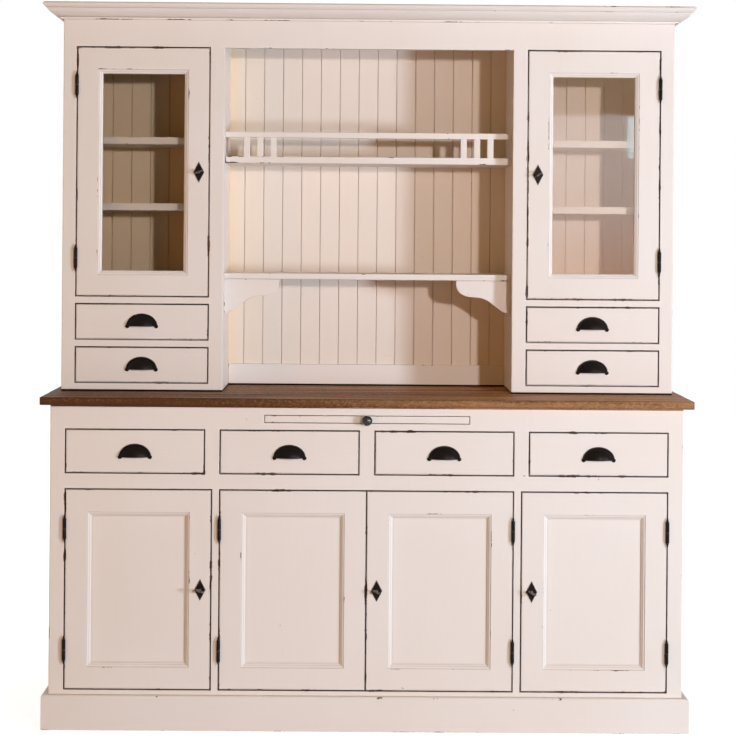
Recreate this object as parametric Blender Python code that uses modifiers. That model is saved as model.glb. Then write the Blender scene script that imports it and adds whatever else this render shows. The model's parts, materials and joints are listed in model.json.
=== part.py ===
"""A painted country kitchen dresser: a base of drawers and cupboards under a wooden worktop, and a
hutch with two glazed cupboards beside an open bay of shelves. Lengths are in metres, X runs to the
right, Z up, and the front faces -Y. The dresser's own frame has y = 0 on the base's front face."""

from math import cos, floor, pi, radians, sin

import bmesh
import bpy
from mathutils import Matrix, Vector

# Fits
SEAT_GAP = 0.0003
REVEAL_GAP = 0.003
OVERRUN = 0.01
WELD = 0.00001

# Boards
BOARD = 0.018
FACE_THICKNESS = 0.022
BASE_BACK_THICKNESS = 0.008
BACK_BOARD_THICKNESS = 0.013
EASED_EDGE = 0.001

# Whole body
BODY_WIDTH = 1.748
BODY_DEPTH = 0.470
HUTCH_SETBACK = 0.187

# Worktop and plinth
WORKTOP_THICKNESS = 0.022
WORKTOP_OVERHANG = 0.026
WORKTOP_EASE = 0.002
BATTEN_THICKNESS = 0.005
PLINTH_HEIGHT = 0.0955
PLINTH_THICKNESS = 0.018
PLINTH_CHAMFER = 0.004

# Base front, across
END_STILE = 0.0425
PAIR_WIDTH = 0.811
DOOR_STILE_BETWEEN = 0.0225
DRAWER_STILE_BETWEEN = 0.043
CENTRE_MUNTIN = 0.044
PARTITION = 0.012

# Base front, up
BASE_BOTTOM_RAIL = 0.1089
BASE_DOOR_HEIGHT = 0.552
DRAWER_RAIL = 0.0445
BASE_DRAWER_HEIGHT = 0.1204
SLIDE_RAIL = 0.0214
SLIDE_HEIGHT = 0.0205
TOP_RAIL = 0.0208

# Pull-out board
SLIDE_WIDTH = 0.566
SLIDE_CLEARANCE = 0.062
SLIDE_GUIDE = 0.018
KNOB_RADIUS = 0.0138
KNOB_REACH = 0.026
KNOB_DROP = 0.0018

# Drawer boxes
BASE_BOX_CLEARANCE = 0.060
HUTCH_BOX_CLEARANCE = 0.013
BOX_SIDE_INSET = 0.002
BOX_TOP_INSET = 0.012
BOX_WALL = 0.010
BOX_FLOOR = 0.007
GUIDE_HEIGHT = 0.020

# Hutch front, across
HUTCH_END_STILE = 0.0395
CABINET_WIDTH = 0.379
HUTCH_INNER_STILE = 0.042

# Hutch front, up
HUTCH_BOTTOM_RAIL = 0.0247
HUTCH_DRAWER_HEIGHT = 0.1014
HUTCH_RAIL = 0.0221
HUTCH_DOOR_HEIGHT = 0.7122
HUTCH_HEADER = 0.1056
CORNICE_RISE = 0.018
CORNICE_HEIGHT = 0.0455
CORNICE_REACH = 0.0525

# Cabinet shelves, heights of their undersides above the cabinet floor
CABINET_SHELF = 0.021
LOW_CABINET_SHELF = 0.248
HIGH_CABINET_SHELF = 0.4395
CABINET_SHELF_SETBACK = 0.064

# Bay: back boards, skirting rail and shelves, heights above the worktop
BOARD_PITCH = 0.0568
GROOVE_WIDTH = 0.005
GROOVE_DEPTH = 0.0028
SKIRTING_HEIGHT = 0.0635
SKIRTING_THICKNESS = 0.014
SHELF_SETBACK = 0.042
LOWER_SHELF_TOP = 0.3395
LOWER_SHELF_THICKNESS = 0.017
GALLERY_SHELF_TOP = 0.6765
GALLERY_SHELF_THICKNESS = 0.0195
GALLERY_GAP = 0.054
GALLERY_RAIL = 0.017
BALUSTER = 0.018
BALUSTER_PITCH = 0.0385
BALUSTER_END_SPACE = 0.053
BALUSTERS_EACH_END = 3
BRACKET_WIDTH = 0.1575
BRACKET_HEIGHT = 0.100
BRACKET_THICKNESS = 0.016
BRACKET_SETBACK = 0.002

# Door leaves
LEAF_STILE = 0.060
LEAF_TOP_RAIL = 0.0625
LEAF_BOTTOM_RAIL = 0.0605
MOULDING = 0.013
PANEL_RECESS = 0.008
PANEL_THICKNESS = 0.007
GLAZED_LEAF_THICKNESS = 0.018
GLASS_THICKNESS = 0.003
GLASS_DEPTH = 0.010
GLASS_GROOVE = 0.008

# Hinges
HINGE_HEIGHT = 0.080
HINGE_INSET = 0.109
BARREL_RADIUS = 0.0048
BARREL_CLEARANCE = 0.0005
FINIAL_HEIGHT = 0.012
KNUCKLE_SPLIT = 0.001
HINGE_LEAF_SHORTFALL = 0.003

# Locks and keys
LOCK_INSET = 0.0297
BASE_LOCK_RISE = 0.276
HUTCH_LOCK_RISE = 0.3563
ESCUTCHEON_WIDTH = 0.031
ESCUTCHEON_HEIGHT = 0.060
ESCUTCHEON_THICKNESS = 0.0016
LOCK_CASE_WIDTH = 0.034
LOCK_CASE_HEIGHT = 0.050
LOCK_CASE_THICKNESS = 0.008
LOCK_TUBE_RADIUS = 0.0042
KEY_SHANK_RADIUS = 0.0022
KEY_CLEARANCE = 0.0004
KEY_COLLAR_REACH = 0.008
KEY_BOW_WIDTH = 0.026
KEY_BOW_LENGTH = 0.021
CATCH_REACH = 0.038
CATCH_WIDTH = 0.010
CATCH_THICKNESS = 0.003
CATCH_CLEARANCE = 0.0006

# Cup pulls
PULL_WIDTH = 0.094
PULL_HEIGHT = 0.0425
PULL_REACH = 0.025
PULL_RIM = 0.0075
PULL_RIM_THICKNESS = 0.0028
PULL_WALL = 0.0028
PULL_FOOT_RADIUS = 0.0045
HUTCH_PULL_RISE = 0.0025

# Facets
ROUND_STEPS = 16
KNOB_STEPS = 24
DOME_SEGMENTS = 20
DOME_RINGS = 10
ARCH_STEPS = 14
SMOOTH_ANGLE = radians(30)

# Cornice section: shares of its reach outwards and of its height downwards
CORNICE_SHARES = (
    (0.90, 0.0), (0.975, 0.05), (1.0, 0.13), (0.97, 0.22), (0.90, 0.30), (0.86, 0.345),
    (0.82, 0.36), (0.79, 0.43), (0.71, 0.55), (0.60, 0.66), (0.47, 0.76), (0.33, 0.84),
    (0.21, 0.885), (0.20, 0.90), (0.20, 1.0),
)
# Bracket outline from its tip under the shelf to its foot on the wall: shares of width and height
BRACKET_SHARES = (
    (0.0, 0.16), (0.045, 0.32), (0.127, 0.42), (0.23, 0.47), (0.36, 0.485),
    (0.49, 0.515), (0.607, 0.61), (0.70, 0.72), (0.787, 0.83), (0.895, 0.925),
)
# Hinge finial from its tip to the barrel: shares of the barrel's radius and of the finial's height
FINIAL_SHARES = ((0.0, 1.0), (0.36, 0.84), (0.3, 0.62), (0.62, 0.46), (0.55, 0.2), (1.0, 0.0))
# Knob from its crown to the board: shares of its radius and of its reach
KNOB_SHARES = (
    (0.0, 1.0), (0.45, 0.97), (0.8, 0.85), (0.98, 0.68), (1.0, 0.55), (0.88, 0.4),
    (0.55, 0.26), (0.45, 0.16), (0.5, 0.06), (0.62, 0.0), (0.0, 0.0),
)

# Finishes: colour, roughness, metallic
PAINT = ((0.84, 0.77, 0.70), 0.5, 0.0)
WORN_WOOD = ((0.20, 0.095, 0.045), 0.45, 0.0)
BARE_PINE = ((0.45, 0.28, 0.15), 0.6, 0.0)
IRON = ((0.022, 0.016, 0.013), 0.42, 0.85)
GLASS = ((0.80, 0.86, 0.84), 0.05, 0.0)

# Levels of the base, from the floor
door_low = BASE_BOTTOM_RAIL
door_high = door_low + BASE_DOOR_HEIGHT
drawer_low = door_high + DRAWER_RAIL
drawer_high = drawer_low + BASE_DRAWER_HEIGHT
slide_low = drawer_high + SLIDE_RAIL
slide_high = slide_low + SLIDE_HEIGHT
base_top = slide_high + TOP_RAIL
worktop_top = base_top + BATTEN_THICKNESS + WORKTOP_THICKNESS

# Levels of the hutch
lower_low = worktop_top + HUTCH_BOTTOM_RAIL
lower_high = lower_low + HUTCH_DRAWER_HEIGHT
upper_low = lower_high + HUTCH_RAIL
upper_high = upper_low + HUTCH_DRAWER_HEIGHT
glazed_low = upper_high + HUTCH_RAIL
glazed_high = glazed_low + HUTCH_DOOR_HEIGHT
hutch_top = glazed_high + HUTCH_HEADER
hutch_foot = worktop_top + SEAT_GAP
cornice_top = hutch_top + CORNICE_RISE
cabinet_floor = glazed_low - REVEAL_GAP / 2

# Lines across the front, right of the middle
half_body = BODY_WIDTH / 2
end_line = half_body - END_STILE
pair_line = PAIR_WIDTH / 2
door_line = pair_line + DOOR_STILE_BETWEEN
drawer_line = pair_line + DRAWER_STILE_BETWEEN
muntin_line = CENTRE_MUNTIN / 2
cabinet_line = half_body - HUTCH_END_STILE
cabinet_inner_line = cabinet_line - CABINET_WIDTH
bay_line = cabinet_inner_line - HUTCH_INNER_STILE
side_inner = half_body - BOARD

# Depths behind the base's front face
carcass_front = FACE_THICKNESS + SEAT_GAP
base_back_front = BODY_DEPTH - BASE_BACK_THICKNESS
base_carcass_depth = (carcass_front, base_back_front - SEAT_GAP)
boards_front = BODY_DEPTH - BACK_BOARD_THICKNESS
hutch_carcass_depth = (HUTCH_SETBACK + carcass_front, boards_front - SEAT_GAP)
shelf_depth = (HUTCH_SETBACK + SHELF_SETBACK, boards_front - SEAT_GAP)
base_box_back = base_back_front - BASE_BOX_CLEARANCE
hutch_box_back = boards_front - HUTCH_BOX_CLEARANCE
slide_back = base_back_front - SLIDE_CLEARANCE
hinge_reach = BARREL_RADIUS + BARREL_CLEARANCE
key_bow_centre = SEAT_GAP + ESCUTCHEON_THICKNESS + KEY_COLLAR_REACH + KEY_BOW_LENGTH / 2
front_reach = max(
    key_bow_centre + KEY_BOW_LENGTH / 2, PULL_REACH + SEAT_GAP, KNOB_REACH + SEAT_GAP, WORKTOP_OVERHANG
)

AXIS_TURNS = {
    "X": Matrix(((0, 0, 1, 0), (1, 0, 0, 0), (0, 1, 0, 0), (0, 0, 0, 1))),
    "Y": Matrix(((1, 0, 0, 0), (0, 0, -1, 0), (0, 1, 0, 0), (0, 0, 0, 1))),
    "Z": Matrix.Identity(4),
}


def clear_scene():
    """Removes the objects that Blender starts with."""
    for obj in list(bpy.data.objects):
        bpy.data.objects.remove(obj, do_unlink=True)


def new_collection(name):
    """A collection linked to the scene."""
    group = bpy.data.collections.new(name)
    bpy.context.scene.collection.children.link(group)
    return group


clear_scene()
parts = new_collection("country_kitchen_dresser")
cutters = new_collection("dresser_cutters")
dresser = bpy.data.objects.new("dresser_frame", None)
dresser.location = (0, (front_reach - BODY_DEPTH) / 2, 0)
parts.objects.link(dresser)


def place_of(obj):
    """Where an object's origin lies in the dresser's frame."""
    place = Vector()
    while obj is not dresser:
        place += obj.location
        obj = obj.parent
    return place


def add_part(name, mesh, finish, place=(0, 0, 0), parent=dresser, roll=0):
    """Adds one node with its own material, its origin at place, turned by roll about Y."""
    obj = bpy.data.objects.new(name, mesh)
    parts.objects.link(obj)
    obj.parent = parent
    obj.location = Vector(place) - place_of(parent)
    obj.rotation_euler = (0, roll, 0)
    colour, roughness, metallic = finish
    material = bpy.data.materials.new(name)
    material.use_nodes = True
    shader = material.node_tree.nodes["Principled BSDF"]
    shader.inputs["Base Color"].default_value = (*colour, 1)
    shader.inputs["Roughness"].default_value = roughness
    shader.inputs["Metallic"].default_value = metallic
    if finish is GLASS:
        shader.inputs["Transmission Weight"].default_value = 1
    if not mesh.materials:
        mesh.materials.append(material)
    obj.material_slots[0].link = "OBJECT"
    obj.material_slots[0].material = material
    return obj


def add_box(name, span, finish, place=(0, 0, 0), parent=None):
    """Adds one node that starts as a plain box."""
    return add_part(name, box_mesh(name, [span], place), finish, place, parent or dresser)


def add_helper(name, mesh):
    """Adds a cutter or a shape to be joined on, which is not a node."""
    obj = bpy.data.objects.new(name, mesh)
    cutters.objects.link(obj)
    obj.parent = dresser
    obj.hide_render = True
    obj.display_type = "WIRE"
    return obj


def mesh_from(bm, name):
    """A mesh from a bmesh, which is freed."""
    mesh = bpy.data.meshes.new(name)
    bm.to_mesh(mesh)
    bm.free()
    return mesh


def box_mesh(name, spans, place=(0, 0, 0)):
    """One mesh of separate boxes, each given by its spans along X, Y and Z."""
    bm = bmesh.new()
    for span in spans:
        low = Vector([side[0] for side in span]) - Vector(place)
        high = Vector([side[1] for side in span]) - Vector(place)
        fit = Matrix.Translation((low + high) / 2) @ Matrix.Diagonal((high - low).to_4d())
        bmesh.ops.create_cube(bm, size=1, matrix=fit)
    return mesh_from(bm, name)


def rod_mesh(name, radius, span, at=(0, 0)):
    """A round rod along Y, centred at (x, z)."""
    bm = bmesh.new()
    middle = Matrix.Translation((at[0], (span[0] + span[1]) / 2, at[1]))
    bmesh.ops.create_cone(
        bm, cap_ends=True, segments=ROUND_STEPS, radius1=radius, radius2=radius,
        depth=span[1] - span[0], matrix=middle @ Matrix.Rotation(pi / 2, 4, "X"),
    )
    return mesh_from(bm, name)


def ball_mesh(name, radii):
    """An ellipsoid about the origin."""
    bm = bmesh.new()
    bmesh.ops.create_uvsphere(
        bm, u_segments=DOME_SEGMENTS, v_segments=DOME_RINGS, radius=1,
        matrix=Matrix.Diagonal(Vector(radii).to_4d()),
    )
    return mesh_from(bm, name)


def tapered_mesh(name, span, taper):
    """A box cutter whose far face along Y is smaller by taper on each side."""
    mesh = box_mesh(name, [span])
    far = span[1][1]
    centre = Vector([(side[0] + side[1]) / 2 for side in span])
    for vertex in mesh.vertices:
        if abs(vertex.co.y - far) < WELD:
            vertex.co.x -= taper if vertex.co.x > centre.x else -taper
            vertex.co.z -= taper if vertex.co.z > centre.z else -taper
    return mesh


def combine(obj, other, operation):
    """A live Boolean of one object with another."""
    modifier = obj.modifiers.new(other.name, "BOOLEAN")
    modifier.operation = operation
    modifier.object = other
    return obj


def cut_boxes(obj, name, spans):
    """Cuts separate boxes out of an object."""
    return combine(obj, add_helper(name, box_mesh(name, spans)), "DIFFERENCE")


def evaluated_mesh(obj, name):
    """An object's shape with its modifiers, in its own space."""
    bpy.context.view_layer.update()
    mesh = bpy.data.meshes.new_from_object(obj.evaluated_get(bpy.context.evaluated_depsgraph_get()))
    mesh.name = name
    return mesh


def welded(mesh):
    """Joins a curve's caps to its sides and turns its faces outwards."""
    bm = bmesh.new()
    bm.from_mesh(mesh)
    bmesh.ops.remove_doubles(bm, verts=bm.verts, dist=WELD)
    bmesh.ops.recalc_face_normals(bm, faces=bm.faces)
    bm.to_mesh(mesh)
    bm.free()
    return mesh


def solid_from_curve(curve, turn):
    """A hidden mesh object from a curve, standing where the curve stood."""
    guide = bpy.data.objects.new(curve.name, curve)
    cutters.objects.link(guide)
    guide.parent = dresser
    guide.matrix_basis = turn
    mesh = welded(evaluated_mesh(guide, curve.name))
    name = curve.name
    bpy.data.objects.remove(guide)
    solid = add_helper(name, mesh)
    solid.matrix_basis = turn
    return solid


def prism(name, points, axis, span, rounded=()):
    """An outline filled and extruded along an axis. Points in rounded join with a smooth curve."""
    curve = bpy.data.curves.new(name, "CURVE")
    curve.dimensions = "2D"
    curve.fill_mode = "BOTH"
    curve.extrude = (span[1] - span[0]) / 2
    curve.resolution_u = 2
    if rounded:
        spline = curve.splines.new("BEZIER")
        spline.bezier_points.add(len(points) - 1)
        for index, (point, corner) in enumerate(zip(spline.bezier_points, points)):
            point.co = (*corner, 0)
            kind = "AUTO" if index in rounded else "VECTOR"
            point.handle_left_type = kind
            point.handle_right_type = kind
    else:
        spline = curve.splines.new("POLY")
        spline.points.add(len(points) - 1)
        for point, corner in zip(spline.points, points):
            point.co = (*corner, 0, 1)
    spline.use_cyclic_u = True
    middle = (span[0] + span[1]) / 2
    shift = {"X": (middle, 0, 0), "Y": (0, middle, 0), "Z": (0, 0, middle)}[axis]
    return solid_from_curve(curve, Matrix.Translation(shift) @ AXIS_TURNS[axis])


def turned(name, profile, steps):
    """A profile of (radius, height) from top to bottom, turned about Z."""
    mesh = bpy.data.meshes.new(name)
    points = [(radius, 0, height) for radius, height in profile]
    mesh.from_pydata(points, [(i, i + 1) for i in range(len(points) - 1)], [])
    solid = add_helper(name, mesh)
    screw = solid.modifiers.new("turn", "SCREW")
    screw.steps = steps
    screw.render_steps = steps
    screw.use_merge_vertices = True
    screw.merge_threshold = WELD
    return solid


def finished(solid, name):
    """The shape of a hidden assembly as a smooth-shaded mesh in the dresser's frame."""
    mesh = evaluated_mesh(solid, name)
    mesh.transform(solid.matrix_basis)
    mesh.shade_smooth()
    mesh.set_sharp_from_angle(angle=SMOOTH_ANGLE)
    return mesh


def ease(obj, width):
    """Takes the sharpness off every edge of a plain box."""
    bevel = obj.modifiers.new("eased_edges", "BEVEL")
    bevel.width = width
    bevel.segments = 1


def mid_span(width):
    """A span of that width about zero."""
    return (-width / 2, width / 2)


def opened(span):
    """The opening for a front whose reveal line is centred on the span's ends."""
    return (span[0] - REVEAL_GAP / 2, span[1] + REVEAL_GAP / 2)


def fitted(span):
    """The front that fits that opening."""
    return (span[0] + REVEAL_GAP / 2, span[1] - REVEAL_GAP / 2)


def mirrored(span):
    """The same span left of the middle."""
    return (-span[1], -span[0])


def both_sides(span):
    """A span and its mirror image."""
    return (mirrored(span), span)


def through(span):
    """A span that runs past both ends of what is cut."""
    return (span[0] - OVERRUN, span[1] + OVERRUN)


def wrap_moulding(name, setback, points, span_up):
    """A moulding round the front and both sides with mitred corners. Its points give its reach
    outwards and its height, from its top edge round to its bottom edge."""
    front = [(BODY_DEPTH, span_up[1])]
    front += [(setback - reach, height) for reach, height in points]
    front += [(BODY_DEPTH, span_up[0])]
    tall = [(points[0][0], span_up[1] + OVERRUN), *points, (points[-1][0], span_up[0] - OVERRUN)]
    right = [(half_body + reach, height) for reach, height in tall]
    left = [(-across, height) for across, height in reversed(right)]
    widest = half_body + max(reach for reach, _ in points) + OVERRUN
    ring = prism(name + "_front_run", front, "X", (-widest, widest))
    sides = prism(name + "_side_runs", right + left, "Y", through((setback - widest, BODY_DEPTH)))
    combine(ring, sides, "INTERSECT")
    body = (mid_span(BODY_WIDTH + 2 * SEAT_GAP), (setback - SEAT_GAP, BODY_DEPTH + OVERRUN), through(span_up))
    cut_boxes(ring, name + "_body", [body])
    return finished(ring, name)


# Fixed pieces of the base

def build_base():
    """The base's carcass, face frame, back panel, plinth and worktop."""
    top = base_top - SEAT_GAP
    width = (-half_body, half_body)
    inside = (-side_inner, side_inner)
    deep = through(base_carcass_depth)
    cupboard_floor = door_low - REVEAL_GAP / 2
    drawer_deck = drawer_low + REVEAL_GAP / 2 - SEAT_GAP
    slide_deck = slide_low + REVEAL_GAP / 2 - SEAT_GAP
    partition_line = pair_line + PARTITION
    cupboard_up = (cupboard_floor, drawer_deck - BOARD)
    drawer_up = (drawer_deck, slide_deck - BOARD)
    guided_up = (drawer_deck + GUIDE_HEIGHT, drawer_up[1])
    slide_up = (slide_deck, slide_high + REVEAL_GAP / 2)
    drawer_wall = (pair_line + drawer_line) / 2
    inner_bay = (PARTITION / 2, drawer_wall - PARTITION / 2)
    outer_bay = (drawer_wall + PARTITION / 2, side_inner)

    carcass = add_box("base_carcass", (width, base_carcass_depth, (0, top)), PAINT)
    cupboards = [(inside, deep, (-OVERRUN, cupboard_floor - BOARD))]
    for across in (mid_span(PAIR_WIDTH), *both_sides((partition_line, side_inner))):
        cupboards.append((across, deep, cupboard_up))
    cut_boxes(carcass, "cupboard_spaces", cupboards)
    bays = both_sides(opened((muntin_line, pair_line))) + both_sides(opened((drawer_line, end_line)))
    cut_boxes(carcass, "drawer_ways", [(across, deep, drawer_up) for across in bays])
    bays = both_sides(inner_bay) + both_sides(outer_bay)
    cut_boxes(carcass, "drawer_spaces", [(across, deep, guided_up) for across in bays])
    slide = opened(mid_span(SLIDE_WIDTH))
    beside_slide = both_sides((slide[1] + SLIDE_GUIDE, side_inner))
    cut_boxes(carcass, "slide_spaces", [(across, deep, slide_up) for across in (slide, *beside_slide)])

    frame = add_box("base_face_frame", (width, (0, FACE_THICKNESS), (0, top)), PAINT)
    deep = through((0, FACE_THICKNESS))
    door_up = opened((door_low, door_high))
    openings = [(across, deep, door_up) for across in both_sides(opened((door_line, end_line)))]
    openings.append((opened(mid_span(PAIR_WIDTH)), deep, door_up))
    drawer_up = opened((drawer_low, drawer_high))
    for line in ((muntin_line, pair_line), (drawer_line, end_line)):
        openings += [(across, deep, drawer_up) for across in both_sides(opened(line))]
    openings.append((slide, deep, opened((slide_low, slide_high))))
    cut_boxes(frame, "base_openings", openings)

    add_box("base_back_panel", (width, (base_back_front, BODY_DEPTH), (0, top)), BARE_PINE)

    chamfer_low = PLINTH_HEIGHT - PLINTH_CHAMFER
    points = [(PLINTH_THICKNESS - PLINTH_CHAMFER, PLINTH_HEIGHT), (PLINTH_THICKNESS, chamfer_low)]
    points.append((PLINTH_THICKNESS, 0))
    add_part("plinth", wrap_moulding("plinth", 0, points, (0, PLINTH_HEIGHT)), PAINT)

    board_up = (worktop_top - WORKTOP_THICKNESS, worktop_top)
    board = (mid_span(BODY_WIDTH + 2 * WORKTOP_OVERHANG), (-WORKTOP_OVERHANG, BODY_DEPTH), board_up)
    worktop = add_box("worktop", board, WORN_WOOD)
    ease(worktop, WORKTOP_EASE)
    batten = [(width, (0, BODY_DEPTH - WORKTOP_EASE), (base_top, board_up[0] + WORKTOP_EASE))]
    combine(worktop, add_helper("worktop_batten", box_mesh("worktop_batten", batten)), "UNION")


# Fixed pieces of the hutch

def build_hutch():
    """The hutch's carcass, face frame, boarded back, skirting rail and cornice."""
    width = (-half_body, half_body)
    deep = through(hutch_carcass_depth)
    up = (hutch_foot, hutch_top)
    ceiling = hutch_top - BOARD
    wall = bay_line + BOARD
    cabinet = (wall, side_inner)
    low_shelf = cabinet_floor + LOW_CABINET_SHELF
    high_shelf = cabinet_floor + HIGH_CABINET_SHELF
    lower_deck = lower_low + REVEAL_GAP / 2 - SEAT_GAP
    upper_deck = upper_low + REVEAL_GAP / 2 - SEAT_GAP
    lower_up = (lower_deck, upper_deck - BOARD)
    upper_up = (upper_deck, cabinet_floor - BOARD)

    carcass = add_box("hutch_carcass", (width, hutch_carcass_depth, up), PAINT)
    cut_boxes(carcass, "bay_space", [((-bay_line, bay_line), deep, (hutch_foot - OVERRUN, ceiling))])
    levels = [(cabinet_floor, low_shelf), (low_shelf + CABINET_SHELF, high_shelf)]
    levels.append((high_shelf + CABINET_SHELF, ceiling))
    spaces = [(across, deep, level) for across in both_sides(cabinet) for level in levels]
    cut_boxes(carcass, "cabinet_spaces", spaces)
    before = (hutch_carcass_depth[0] - OVERRUN, HUTCH_SETBACK + CABINET_SHELF_SETBACK)
    levels = [through((shelf, shelf + CABINET_SHELF)) for shelf in (low_shelf, high_shelf)]
    spaces = [(across, before, level) for across in both_sides(cabinet) for level in levels]
    cut_boxes(carcass, "before_cabinet_shelves", spaces)
    way = opened((cabinet_inner_line, cabinet_line))
    spaces = [(across, deep, level) for across in both_sides(way) for level in (lower_up, upper_up)]
    cut_boxes(carcass, "hutch_drawer_ways", spaces)
    guided = [(level[0] + GUIDE_HEIGHT, level[1]) for level in (lower_up, upper_up)]
    spaces = [(across, deep, level) for across in both_sides(cabinet) for level in guided]
    cut_boxes(carcass, "hutch_drawer_spaces", spaces)

    face = (HUTCH_SETBACK, HUTCH_SETBACK + FACE_THICKNESS)
    frame = add_box("hutch_face_frame", (width, face, up), PAINT)
    deep = through(face)
    openings = [((-bay_line, bay_line), deep, (hutch_foot - OVERRUN, glazed_high))]
    for level in ((lower_low, lower_high), (upper_low, upper_high), (glazed_low, glazed_high)):
        openings += [(across, deep, opened(level)) for across in both_sides(way)]
    cut_boxes(frame, "hutch_openings", openings)

    boards = prism("tongued_boards", back_outline(), "Z", up)
    add_part("hutch_back_boards", finished(boards, "hutch_back_boards"), PAINT)
    bay = (-bay_line + SEAT_GAP, bay_line - SEAT_GAP)
    skirting = (boards_front - SEAT_GAP - SKIRTING_THICKNESS, boards_front - SEAT_GAP)
    rail = (bay, skirting, (hutch_foot, worktop_top + SKIRTING_HEIGHT))
    ease(add_box("hutch_skirting_rail", rail, PAINT), EASED_EDGE)

    points = [(reach * CORNICE_REACH, cornice_top - drop * CORNICE_HEIGHT) for reach, drop in CORNICE_SHARES]
    cornice = wrap_moulding("cornice", HUTCH_SETBACK, points, (cornice_top - CORNICE_HEIGHT, cornice_top))
    add_part("cornice", cornice, PAINT)


def back_outline():
    """The boarded back seen from above: a plate with a V groove at each joint between boards."""
    grooves = floor(half_body / BOARD_PITCH - 1 / 2) + 1
    outline = [(-half_body, BODY_DEPTH), (half_body, BODY_DEPTH), (half_body, boards_front)]
    for index in range(grooves - 1, -grooves - 1, -1):
        centre = (index + 1 / 2) * BOARD_PITCH
        outline.append((centre + GROOVE_WIDTH / 2, boards_front))
        outline.append((centre, boards_front + GROOVE_DEPTH))
        outline.append((centre - GROOVE_WIDTH / 2, boards_front))
    outline.append((-half_body, boards_front))
    return outline


def build_gallery_shelf():
    """The gallery shelf with its rail on square balusters."""
    bay = (-bay_line + SEAT_GAP, bay_line - SEAT_GAP)
    shelf_top = worktop_top + GALLERY_SHELF_TOP
    rail_low = shelf_top + GALLERY_GAP
    rail_top = rail_low + GALLERY_RAIL
    shelf_low = shelf_top - GALLERY_SHELF_THICKNESS
    rail_depth = (shelf_depth[0], shelf_depth[0] + BALUSTER)
    gallery = add_box("gallery_shelf", (bay, rail_depth, (shelf_low, rail_top)), PAINT)
    outermost = bay_line - BALUSTER_END_SPACE - BALUSTER / 2
    posts = [outermost - index * BALUSTER_PITCH for index in range(BALUSTERS_EACH_END)]
    gaps = [(posts[0] + BALUSTER / 2, bay_line + OVERRUN)]
    gaps += [(outer - BALUSTER_PITCH + BALUSTER / 2, outer - BALUSTER / 2) for outer in posts[:-1]]
    gaps = [across for gap in gaps for across in both_sides(gap)]
    gaps.append((-posts[-1] + BALUSTER / 2, posts[-1] - BALUSTER / 2))
    cut_boxes(gallery, "baluster_gaps", [(gap, through(rail_depth), (shelf_top, rail_low)) for gap in gaps])
    board = [(bay, (rail_depth[1] - BALUSTER / 2, shelf_depth[1]), (shelf_low, shelf_top))]
    combine(gallery, add_helper("gallery_board", box_mesh("gallery_board", board)), "UNION")


def build_lower_shelf():
    """The lower shelf with a scroll bracket under each end."""
    bay = (-bay_line + SEAT_GAP, bay_line - SEAT_GAP)
    top = worktop_top + LOWER_SHELF_TOP
    low = top - LOWER_SHELF_THICKNESS
    lower = add_box("lower_shelf", (bay, shelf_depth, (low, top)), PAINT)
    front = shelf_depth[0] + BRACKET_SETBACK
    lift = LOWER_SHELF_THICKNESS / 2
    for name, side in (("left", -1), ("right", 1)):
        tip = bay[1] - BRACKET_WIDTH
        scroll = []
        for across, drop in BRACKET_SHARES:
            scroll.append((tip + across * BRACKET_WIDTH, low - drop * BRACKET_HEIGHT))
        corners = [(tip, low + lift), (tip, low), *scroll, (bay[1], low - BRACKET_HEIGHT), (bay[1], low + lift)]
        outline = [(side * across, height) for across, height in corners]
        rounded = range(2, len(scroll) + 2)
        bracket = prism(name + "_bracket", outline, "Y", (front, front + BRACKET_THICKNESS), rounded)
        combine(lower, bracket, "UNION")


# Doors, with their hinges, locks and keys

def hinge_mesh():
    """A pin hinge's barrel with a finial at each end, and its closed leaves in the reveal."""
    half = HINGE_HEIGHT / 2
    shoulder = half - FINIAL_HEIGHT
    finial = [(radius * BARREL_RADIUS, shoulder + rise * FINIAL_HEIGHT) for radius, rise in FINIAL_SHARES]
    split = [(BARREL_RADIUS, KNUCKLE_SPLIT / 2), (BARREL_RADIUS - KNUCKLE_SPLIT / 2, 0)]
    upper = finial + split
    profile = upper + [(radius, -height) for radius, height in reversed(upper[:-1])]
    barrel = turned("hinge_barrel", profile, ROUND_STEPS)
    leaf_end = hinge_reach + FACE_THICKNESS - HINGE_LEAF_SHORTFALL
    leaves = [(mid_span(REVEAL_GAP - 2 * SEAT_GAP), (0, leaf_end), (-shoulder, shoulder))]
    combine(barrel, add_helper("hinge_leaves", box_mesh("hinge_leaves", leaves)), "UNION")
    return finished(barrel, "pin_hinge")


def lock_mesh():
    """A diamond escutcheon, the key tube behind it and the lock case, bored for the key."""
    plate_back = -SEAT_GAP
    plate = (plate_back - ESCUTCHEON_THICKNESS, plate_back)
    half_width = ESCUTCHEON_WIDTH / 2
    half_height = ESCUTCHEON_HEIGHT / 2
    diamond = [(0, half_height), (-half_width, 0), (0, -half_height), (half_width, 0)]
    lock = prism("escutcheon", diamond, "Y", plate)
    case_depth = (FACE_THICKNESS - LOCK_CASE_THICKNESS, FACE_THICKNESS)
    tube_depth = (plate[0] + ESCUTCHEON_THICKNESS / 2, case_depth[0] + LOCK_CASE_THICKNESS / 2)
    combine(lock, add_helper("key_tube", rod_mesh("key_tube", LOCK_TUBE_RADIUS, tube_depth)), "UNION")
    case = [(mid_span(LOCK_CASE_WIDTH), case_depth, mid_span(LOCK_CASE_HEIGHT))]
    combine(lock, add_helper("lock_case", box_mesh("lock_case", case)), "UNION")
    bore = rod_mesh("key_bore", KEY_SHANK_RADIUS + KEY_CLEARANCE, through((plate[0], case_depth[1])))
    combine(lock, add_helper("key_bore", bore), "DIFFERENCE")
    return finished(lock, "door_lock")


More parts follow.
